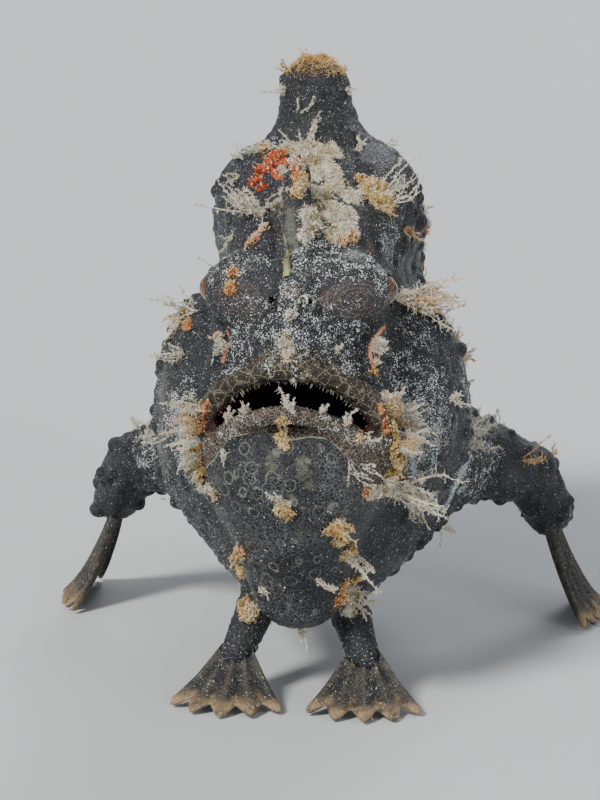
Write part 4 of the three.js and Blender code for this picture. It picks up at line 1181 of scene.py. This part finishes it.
def tuft(coat, root, tip, stems, thick, bushy=1.0):
    """A skin flap's filaments: wandering stems, forked twigs, and grains that crust them."""
    reach = np.linalg.norm(tip - root)
    axis = (tip - root) / reach
    start = root - axis * 0.5 + rng.normal(size=(stems, 3)) * 0.22 * min(1.0, reach / 5)
    length = reach * np.concatenate([[1.1], rng.uniform(0.25, 0.9, stems - 1)]) + 0.5
    loose = min(1.0, 3.2 / reach)
    heading = unit(axis + rng.normal(size=(stems, 3)) * 0.36 * loose)
    stem = grow(start, heading, length, 9, 0.24 + 0.1 * loose, axis * 0.36)
    coat.tubes(stem, taper(9, thick), root)
    twig = shoots(stem, int(8 * bushy), 0.13 * reach + 0.3)
    coat.tubes(twig, taper(4, thick * 0.5), root)
    hair = shoots(twig, 2, 0.03 * reach + 0.2, 1.1, 3)
    coat.tubes(hair, taper(3, thick * 0.32), root)
    grain = min(1.0, 0.55 + reach / 14)
    for line, each, size in ((stem, int(44 * bushy), 0.14 * grain), (twig, 6, 0.1 * grain)):
        base = shoots(line, each, 0.45, 1.4)[:, 1]
        sizes = size * rng.uniform(0.5, 1.5, len(base))
        coat.granules(base, unit(rng.normal(size=base.shape)), sizes, root)


mesh = skin.data
mesh.calc_loop_triangles()
corner_index = np.empty(len(mesh.loop_triangles) * 3, np.int32)
mesh.loop_triangles.foreach_get("vertices", corner_index)
corner_index = corner_index.reshape(-1, 3)
corners = points[corner_index]
facing_out = np.cross(corners[:, 1] - corners[:, 0], corners[:, 2] - corners[:, 0])
area = np.linalg.norm(facing_out, axis=1) / 2
facing_out = unit(facing_out)


def scatter(count, density):
    """Random points on the skin, denser where the density is high, and their normals."""
    weight = area * density[corner_index].mean(axis=1)
    chosen = rng.choice(len(area), count, p=weight / weight.sum())
    r1, r2 = np.sqrt(rng.random(count))[:, None], rng.random(count)[:, None]
    c = corners[chosen]
    return c[:, 0] * (1 - r1) + c[:, 1] * r1 * (1 - r2) + c[:, 2] * r1 * r2, facing_out[chosen]


few = 1.0


def fuzz(coat, count, density, shortest, longest, thick, lean=0.6, steps=4):
    """Short hairs on the skin."""
    base, facing = scatter(int(count * few), density)
    heading = unit(facing + rng.normal(size=base.shape) * lean)
    line = grow(base - facing * 0.15, heading, rng.uniform(shortest, longest, len(base)), steps, 0.3)
    coat.tubes(line, taper(steps, thick))


def crumbs(coat, count, density, smallest, largest):
    """Grains on the skin."""
    base, facing = scatter(int(count * few), density)
    coat.granules(base, facing, rng.uniform(smallest, largest, len(base)))


bare = (1 - inside) * (1 - 0.8 * upper_lip) * fade(eye_near, 2.9, 3.4)
cluster = fade(noise(points, 1.6, 41) + 0.6 * noise(points, 5.0, 42), -0.1, 0.7)
snowy = marks["snow"] * (0.3 + 0.7 * fade(oval, 0.8, 1.1))
grain_density = bare * (0.12 + 0.14 * front + 1.7 * snowy * (0.12 + cluster))
white = Coat()
base, facing = scatter(int(58000 * few), grain_density * (1 - 0.7 * is_fin) * (1 - 0.6 * chin))
big = 1 + 0.9 * (rng.random(len(base)) > 0.94)
white.granules(base, facing, rng.uniform(0.04, 0.11, len(base)) * big)

chalky = Coat()
heaps = bare * (marks["crust"] + 0.7 * marks["yellow"] + 0.5 * marks["orange"] + 0.3 * marks["red"])
crumbs(chalky, 17000, heaps, 0.07, 0.25)
fuzz(chalky, 1900, heaps, 0.3, 1.1, 0.05)
fuzz(chalky, 3000, bare * (0.1 + snowy + 0.5 * is_fin * (out_share > 0.9)), 0.25, 0.9, 0.042, 0.5, 3)
feathered = bare * marks["feather"]
base, facing = scatter(int(12000 * few), feathered)
lift = rng.uniform(0, 0.5, len(base))[:, None]
white.granules(base + facing * lift, facing, rng.uniform(0.06, 0.17, len(base)), base)
fuzz(white, 3200, feathered, 0.4, 1.1, 0.05, 0.8)
golden = Coat()
crumbs(golden, 9000, bare * (marks["yellow"] + 0.8 * marks["orange"]), 0.08, 0.22)
fuzz(golden, 1500, bare * (marks["yellow"] + 0.6 * marks["orange"]), 0.3, 0.9, 0.05)
knob_rim = fade(points[:, 2], 46.5, 49.5)
fuzz(golden, 1500, bare * knob_rim, 0.2, 0.9, 0.045)
crumbs(golden, 2500, bare * knob_rim, 0.06, 0.16)

# Flaps that show in the photograph: root and tip in its frame, stems and thickness, and for some
# their bushiness, and "warm" for the warm kind
TUFTS = [
    (262, 213, 203, 180, 7, 0.16, 1.2), (258, 210, 224, 190, 6, 0.16, 1.2),
    (256, 238, 244, 254, 4, 0.11, 1, "warm"), (264, 226, 248, 246, 4, 0.11),
    (385, 196, 420, 156, 6, 0.12), (390, 204, 424, 180, 5, 0.12),
    (380, 206, 396, 216, 5, 0.12, 1, "warm"), (310, 146, 319, 112, 4, 0.08),
    (308, 147, 294, 128, 3, 0.07), (312, 147, 332, 124, 3, 0.07), (300, 150, 284, 140, 5, 0.1),
    (254, 152, 238, 142, 6, 0.1), (242, 158, 228, 150, 4, 0.07), (290, 146, 276, 136, 4, 0.06),
    (398, 300, 474, 294, 9, 0.15, 1.6), (404, 302, 468, 302, 9, 0.16, 1.6, "warm"),
    (410, 304, 456, 322, 7, 0.12, 1.4), (400, 297, 436, 280, 6, 0.12, 1.2),
    (420, 304, 462, 310, 7, 0.13, 1.4), (196, 311, 153, 301, 7, 0.13, 1.3),
    (190, 318, 166, 326, 6, 0.14, 1.2, "warm"), (194, 306, 174, 292, 4, 0.1),
    (180, 356, 147, 352, 6, 0.1, 1.1), (198, 410, 165, 398, 10, 0.1, 1.6),
    (198, 425, 174, 417, 8, 0.1, 1.4, "warm"), (197, 440, 165, 443, 10, 0.1, 1.6),
    (198, 456, 174, 466, 9, 0.1, 1.4), (178, 430, 142, 436, 7, 0.08, 1.2),
    (196, 432, 179, 431, 10, 0.11, 1.4, "warm"), (392, 406, 409, 390, 8, 0.08, 1.3),
    (398, 412, 427, 403, 12, 0.09, 1.7), (402, 424, 434, 423, 12, 0.09, 1.7),
    (402, 436, 431, 439, 12, 0.09, 1.7), (402, 450, 426, 457, 11, 0.09, 1.7),
    (400, 418, 420, 414, 11, 0.1, 1.4), (402, 444, 422, 448, 11, 0.1, 1.4, "warm"),
    (396, 422, 409, 428, 11, 0.12, 1.4, "warm"), (394, 462, 408, 469, 10, 0.11, 1.4, "warm"),
    (388, 480, 404, 484, 9, 0.1, 1.4), (392, 492, 460, 507, 10, 0.15, 1.7),
    (400, 496, 444, 516, 8, 0.12, 1.5), (408, 500, 428, 478, 6, 0.11, 1.2),
    (414, 504, 424, 530, 6, 0.11, 1.2), (352, 472, 378, 482, 3, 0.05, 0.6),
    (362, 466, 382, 478, 3, 0.05, 0.6), (350, 464, 360, 480, 3, 0.05, 0.6),
    (338, 520, 350, 546, 7, 0.13, 1.2, "warm"), (346, 556, 386, 582, 8, 0.12, 1.5),
    (352, 600, 374, 624, 9, 0.12, 1.5), (356, 596, 376, 604, 8, 0.12, 1.3),
    (344, 590, 336, 578, 6, 0.09, 1, "warm"), (282, 504, 272, 488, 5, 0.09),
    (284, 510, 292, 516, 5, 0.08, 1, "warm"), (288, 408, 283, 390, 5, 0.08),
    (290, 408, 298, 398, 5, 0.05, 1.5), (284, 434, 280, 420, 6, 0.09, 1.2, "warm"),
    (284, 444, 286, 430, 5, 0.08, 1.2, "warm"), (228, 420, 225, 406, 7, 0.05, 1.5),
    (246, 412, 242, 404, 5, 0.05, 1.4), (322, 412, 328, 405, 5, 0.05, 1.4),
    (346, 424, 352, 408, 7, 0.06, 1.4), (366, 440, 378, 426, 4, 0.09), (224, 452, 232, 462, 4, 0.07),
    (222, 346, 211, 338, 8, 0.07, 1.4), (223, 350, 208, 358, 5, 0.08),
    (377, 345, 390, 346, 9, 0.07, 1.4), (376, 350, 386, 354, 7, 0.06, 1.4),
    (288, 354, 286, 382, 3, 0.12, 1.6), (290, 346, 280, 336, 5, 0.08), (289, 318, 294, 306, 4, 0.07),
    (340, 346, 328, 352, 4, 0.06), (284, 92, 262, 84, 5, 0.09), (300, 112, 311, 90, 3, 0.07),
    (286, 70, 276, 62, 4, 0.06, 1, "warm"), (300, 62, 298, 54, 4, 0.05, 1, "warm"),
    (330, 62, 336, 54, 5, 0.06, 1, "warm"), (342, 72, 352, 66, 5, 0.06, 1, "warm"),
    (348, 92, 356, 88, 4, 0.06), (283, 190, 272, 208, 3, 0.06, 0.8),
    (288, 190, 299, 206, 3, 0.06, 0.8), (270, 176, 262, 196, 3, 0.06, 0.8),
    (240, 548, 228, 566, 7, 0.14, 1.4, "warm"), (246, 600, 236, 616, 7, 0.14, 1.4, "warm"),
    (252, 612, 244, 634, 6, 0.12, 1.2), (300, 630, 306, 648, 6, 0.08, 1.2),
    (262, 590, 268, 600, 4, 0.07), (318, 580, 336, 594, 4, 0.09),
    (408, 230, 424, 240, 4, 0.1, 1, "warm"), (232, 236, 216, 248, 5, 0.11),
    (450, 400, 472, 396, 4, 0.1), (236, 178, 222, 186, 4, 0.06), (356, 150, 366, 138, 3, 0.05),
]
pale, warm = Coat(), Coat()
for flap, root in zip(TUFTS, seen([flap[:2] for flap in TUFTS])):
    if np.isnan(root[0]):
        continue
    ray = photo_ray(flap[2:4])
    stems, thick, *extra = flap[4:]
    tip = eye_point + ray * (np.dot(root - eye_point, look) / np.dot(ray, look) - 0.8)
    tuft(warm if "warm" in extra else pale, root, tip, stems, thick, extra[0] if extra else 1)

# Flaps over the rest of the body, as this fish wears them
hidden = (1 - is_fin) * fade(points[:, 1], 36, 44) * fade(points[:, 2], -41, -36)
FLAPS = 110
base, facing = scatter(FLAPS, hidden * (0.3 + fade(np.abs(points[:, 2]), 20, 8)))
for k, (root, normal) in enumerate(zip(base, facing)):
    back = unit(normal + np.array([0, 0.9, 0.25]) + rng.normal(size=3) * 0.35)
    reach = rng.uniform(1.6, 5.5)
    tuft(warm if k % 4 == 0 else pale, root, root + back * reach, rng.integers(3, 7), 0.11)

# The curled rim of the nostril on the fish's left
curl = np.radians(np.linspace(200, -100, 14))
hub = seen([(303, 301)])[0] - look * 0.5
ring = hub + np.cos(curl)[:, None] * right * 0.6 + np.sin(curl)[:, None] * up * 0.7
pale.tubes(ring[None], np.linspace(0.24, 0.16, len(curl)), hub, sides=5)

# Teeth along the inner edge of the upper lip
TEETH = 150
teeth = Coat()
angle = np.radians(np.linspace(-72, 72, TEETH)) + rng.normal(size=TEETH) * 0.01
base = np.array([arch(UPPER, a, 0.25, 0.3) for a in angle])
base += rng.normal(size=(TEETH, 3)) * (0.08, 0.4, 0.12)
down = unit(np.column_stack([-0.8 * np.sin(angle), np.full(TEETH, 0.15), -np.cos(angle)]))
line = grow(base, down, rng.uniform(0.8, 1.5, TEETH), 3, 0.12)
teeth.tubes(line, taper(3, 0.085, 0.2), sides=4)

# The lure: a rod that springs from the snout and lies in front of the second spine
ROD = seen([(287, 279), (287, 272), (287, 263), (288, 255), (286, 244), (283, 230), (281, 216), (278, 204)])
ROD -= look * np.array([-0.6, 0.35, 0.5, 0.25, 0.08, 0.05, 0.05, 0.1])[:, None]
rod = Coat()
line = resampled(ROD, 26)
along = np.linspace(0, len(ROD) - 1, len(line))
width = np.interp(along, [0, 1, 2.6, 3.2, 7], [0.7, 0.5, 0.42, 0.2, 0.15]) * (1 + 0.1 * np.sin(along * 9))
rod.tubes(line[None], width, sides=10)
for turn in np.linspace(0, 2 * np.pi, 6)[:-1]:
    away = unit(np.array([math.cos(turn) * 0.9, -0.6, -0.2 + 0.7 * math.sin(turn)]))
    tuft(pale, line[-1], line[-1] + away * 2.2, 3, 0.07)


def coat_material(name, root_colour, tip_colour, other, roughness, along=1.0):
    """From one colour at the root to another at the tip, with patches of a third."""
    g = Shader(name)
    g.colour = g.mix(g.range("share", 0.0, along), root_colour, tip_colour)
    g.lay(g.range(g.noise(2.4, 3), 0.45, 0.6), other)
    g.lay(g.range("tint", 0.0, 1.0, 0.0, 0.35), tip_colour)
    g.set(Base_Color=g.colour, Roughness=roughness)
    return g.material


PIECES = [
    (white, "granules", (0.36, 0.41, 0.44), (0.66, 0.71, 0.72), (0.34, 0.35, 0.30), 0.6),
    (chalky, "crust_grains", (0.42, 0.34, 0.20), (0.76, 0.73, 0.62), (0.50, 0.38, 0.18), 0.8),
    (golden, "golden_grains", (0.36, 0.18, 0.03), (0.68, 0.50, 0.20), (0.52, 0.26, 0.06), 0.8),
    (pale, "pale_flaps", (0.42, 0.33, 0.18), (0.78, 0.78, 0.71), (0.56, 0.48, 0.33), 0.7),
    (warm, "warm_flaps", (0.42, 0.17, 0.05), (0.70, 0.58, 0.34), (0.54, 0.33, 0.12), 0.7),
    (teeth, "teeth", (0.20, 0.15, 0.09), (0.62, 0.58, 0.48), (0.36, 0.30, 0.2), 0.3),
    (rod, "lure_rod", (0.42, 0.43, 0.16), (0.05, 0.05, 0.048), (0.20, 0.20, 0.08), 0.4, 0.42),
]
for coat, name, *look_of in PIECES:
    coat.pieces(name, coat_material(name, *look_of))

# Lights and floor
world = bpy.data.worlds.new("world")
bpy.context.scene.world = world
world.use_nodes = True
background = world.node_tree.nodes["Background"].inputs
background["Color"].default_value = (0.93, 0.96, 1.0, 1)
background["Strength"].default_value = 0.5


def sun(name, towards, strength, size, colour):
    """A far light that shines towards a direction; size is its width in degrees."""
    data = bpy.data.lights.new(name, "SUN")
    data.energy = strength
    data.angle = math.radians(size)
    data.color = colour
    lamp = bpy.data.objects.new(name, data)
    lamp.rotation_euler = Vector(towards).to_track_quat("-Z", "Y").to_euler()
    bpy.context.scene.collection.objects.link(lamp)


sun("key", (0.55, 0.75, -0.85), 4.2, 14, (1.0, 0.98, 0.94))
sun("fill", (-0.7, 0.7, -0.3), 1.0, 30, (0.94, 0.97, 1.0))
sun("rim", (-0.2, -0.8, -0.7), 1.2, 25, (0.95, 0.97, 1.0))

FLOOR_HALF = 12000
floor_corners = np.array([[-1, -1, 0], [1, -1, 0], [1, 1, 0], [-1, 1, 0]]) * FLOOR_HALF
floor = make_mesh("floor", floor_corners - ORIGIN, [[0, 1, 2, 3]])
pale_floor = Shader("floor")
pale_floor.set(Base_Color=(0.50, 0.515, 0.525), Roughness=0.8, Specular_IOR_Level=0.1)
floor.data.materials.append(pale_floor.material)
